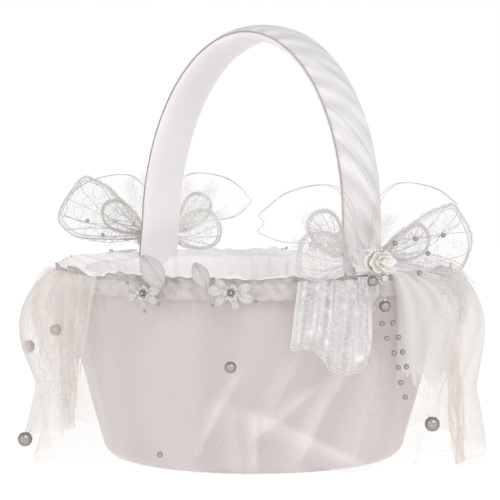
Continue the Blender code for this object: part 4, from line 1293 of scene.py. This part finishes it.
def blossom(side, word, seed):
    """A five-petalled satin flower with a pearl at its heart and a spray of small leaves round it."""
    low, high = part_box(f"near_rim_blossom_{word}")
    centre = np.array((low + high) / 2)
    outward = np.array((centre[0], centre[1], 0)) / np.hypot(centre[0], centre[1])
    sideways = np.cross((0, 0, 1), outward)
    up = np.array((0, 0, 1))
    rng = np.random.default_rng(seed)
    size = (high.z - low.z) / 2
    pieces = []
    for k in range(5):
        start = TAU * k / 5 + rng.uniform(-0.15, 0.15)
        long = size * rng.uniform(0.9, 1.08)

        def petal(u, v):
            angle = start + (u * 2 - 1) * 0.62 * np.sin(pi * (0.12 + 0.78 * v)) ** 0.8
            cup = (0.22 * v + 0.28 * (2 * u - 1) ** 2 * v + 0.1 * np.sin(3 * TAU * u) * v**2) * long
            right, rise = v * long * np.cos(angle), v * long * np.sin(angle)
            return stepped(centre, (outward, cup - 0.6 * MM), (sideways, right), (up, rise))

        pieces.append(sheet(f"petal_{k}", petal, (14, 10), PETAL, 0.25 * MM))
        pieces.append(tubes(f"edge_{k}", [traced(petal, np.linspace(0, 1, 20), 1.0)], 0.2 * MM, VEIN))
    round_heart = [sideways * cos(TAU * k / 5) + up * sin(TAU * k / 5) for k in range(5)]
    seeds = [centre + outward * 0.6 * MM + 1.7 * MM * way for way in round_heart]
    heart = [centre + outward * 1.0 * MM] + seeds
    pieces.append(beads("heart", heart, [1.2 * MM] + [0.7 * MM] * 5, PEARL, rings=8, around=12))
    wires, buds = [], []
    for k, (tilt, long) in enumerate(SPRAY[word]):
        along = sideways * cos(radians(tilt)) + up * sin(radians(tilt))
        across = np.cross(outward, along)
        foot = centre + along * 0.7 * size

        def leaf(u, v):
            half = 0.3 * long * np.sin(pi * np.clip(u, 0, 1)) ** 0.8 * (2 * v - 1)
            rise = 0.8 + 0.12 * long * np.sin(pi * u) + 0.1 * np.abs(half)
            return stepped(foot, (along, u * long * MM), (across, half * MM), (outward, rise * MM))

        pieces.append(sheet(f"spray_{k}", leaf, (14, 6), LEAF_NET, 0.15 * MM))
        wires += [traced(leaf, np.linspace(0, 1, 20), v) for v in (0.0, 0.5, 1.0)]
        buds.append(foot + along * (long + 1.0) * MM + outward * 1.2 * MM)
    pieces.append(tubes("wires", wires, 0.24 * MM, VEIN, sides=4))
    pieces.append(beads("buds", buds[::2], 0.8 * MM, PEARL, rings=6, around=10))
    piece = join(f"{side}_satin_blossom_{word}", pieces)
    settle(piece, "basket", f"{side}_rim_blossom_{word}", side)


def hidden_parts():
    """The CAD nodes whose own shape is right keep it, with a better material."""
    rivets = [f"{side}_{level}_rivet" for side in SIDES for level in ("lower", "upper")]
    for material, names in (
        (BOARD, ("wall_core", "base_board")),
        (FOAM, ("wall_padding", "floor_pad")),
        (SHADED_SATIN, ("bottom_satin_panel",)),
        (STEEL, ("rim_wire", "handle_core", *rivets)),
    ):
        for name in names:
            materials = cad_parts[name].data.materials
            materials.clear()
            materials.append(material)


# ------------------------------------------------------------------ stage


def studio():
    """A wide flat white floor that glows a little, so that only a soft contact shadow shows, and pale air."""

    def paint(tree):
        tone, _ = blotches(tree, 3, (0.93, 0.93, 0.93), (0.95, 0.95, 0.95))
        glow = node(tree, "Emission", Color=(1, 1, 1, 1), Strength=1.2)
        return mixed(tree, 0.7, node(tree, "BsdfDiffuse", Color=tone), glow)

    def flat(u, v):
        half = 9.0
        return (u - 0.5) * 2 * half, (v - 0.5) * 2 * half, 0 * u - 0.0002

    sheet("studio_floor", flat, (8, 8), surfaced("studio_floor", paint))

    world = bpy.data.worlds.new("studio")
    bpy.context.scene.world = world
    tree = empty_tree(world)
    sky = node(tree, "SeparateXYZ", pick=2, Vector=node(tree, "TexCoord", pick="Generated"))
    strength = node(tree, "MapRange", Value=sky, _1=0.0, _2=1.0, _3=0.92, _4=0.5)
    lit = node(tree, "Background", Color=(1.0, 0.99, 0.985, 1), Strength=strength)
    plain = node(tree, "Background", Color=(1, 1, 1, 1), Strength=1.0)
    air = mixed(tree, node(tree, "LightPath", pick="Is Camera Ray"), lit, plain)
    tree.links.new(air, tree.nodes.new("ShaderNodeOutputWorld").inputs[0])


def lamp(name, azimuth, elevation, distance, size, power, colour):
    """A round lamp that faces the basket. azimuth is in degrees from the camera's."""
    data = bpy.data.lights.new(name, "AREA")
    data.shape = "DISK"
    data.size = size
    data.energy = power
    data.color = colour
    a, e = radians(CAMERA_AZIMUTH + azimuth), radians(elevation)
    middle = Vector((0, 0, 0.1))
    place_object(name, data, Vector((sin(a) * cos(e), -cos(a) * cos(e), sin(e))) * distance + middle, middle)


def place_object(name, data, location, aim):
    """A lamp or camera at its location, turned to its aim."""
    made = bpy.data.objects.new(name, data)
    made.location = location
    made.rotation_euler = (aim - made.location).to_track_quat("-Z", "Y").to_euler()
    bpy.context.scene.collection.objects.link(made)
    return made


def camera():
    """The camera, which stands a little above the rim and looks at the basket's middle."""
    data = bpy.data.cameras.new("camera")
    data.sensor_width = 36
    data.lens = CAMERA_LENS
    a = radians(CAMERA_AZIMUTH)
    location = Vector((CAMERA_DISTANCE * sin(a), -CAMERA_DISTANCE * cos(a), CAMERA_HEIGHT))
    bpy.context.scene.camera = place_object("camera", data, location, CAMERA_AIM)


# ------------------------------------------------------------------ the whole basket

hidden_parts()
tub_cover()
tub_lining()
rim()
overskirt()
handle()
for number, side in enumerate(SIDES):
    seed = 100 * (number + 1)
    organza_loops(side, seed + 3)
    lace_loops(side, seed + 5)
    knot(side, seed + 11)
    plumes(side, seed + 13)
    rose(side, seed + 17)
    flounce(side, seed + 19)
    bunch(side, seed + 47)
    folded_tail(side, seed + 23)
    lace_end(side, seed + 29)
    drop(side, seed + 31)
    for word in ("tall", "low"):
        rim_leaf(side, word)
    for word in ("left", "right"):
        blossom(side, word, seed + 41)
sewn_pearls()
studio()
lamp("key", 48, 34, 1.6, 0.8, 3, (1.0, 0.99, 0.98))
lamp("fill", -55, 20, 1.8, 1.2, 4, (1.0, 0.99, 0.98))
lamp("glint", 14, 44, 1.5, 0.3, 4.2, (1, 1, 1))
camera()
bpy.context.scene.view_settings.view_transform = "Standard"
bpy.context.scene.cycles.transparent_max_bounces = 32
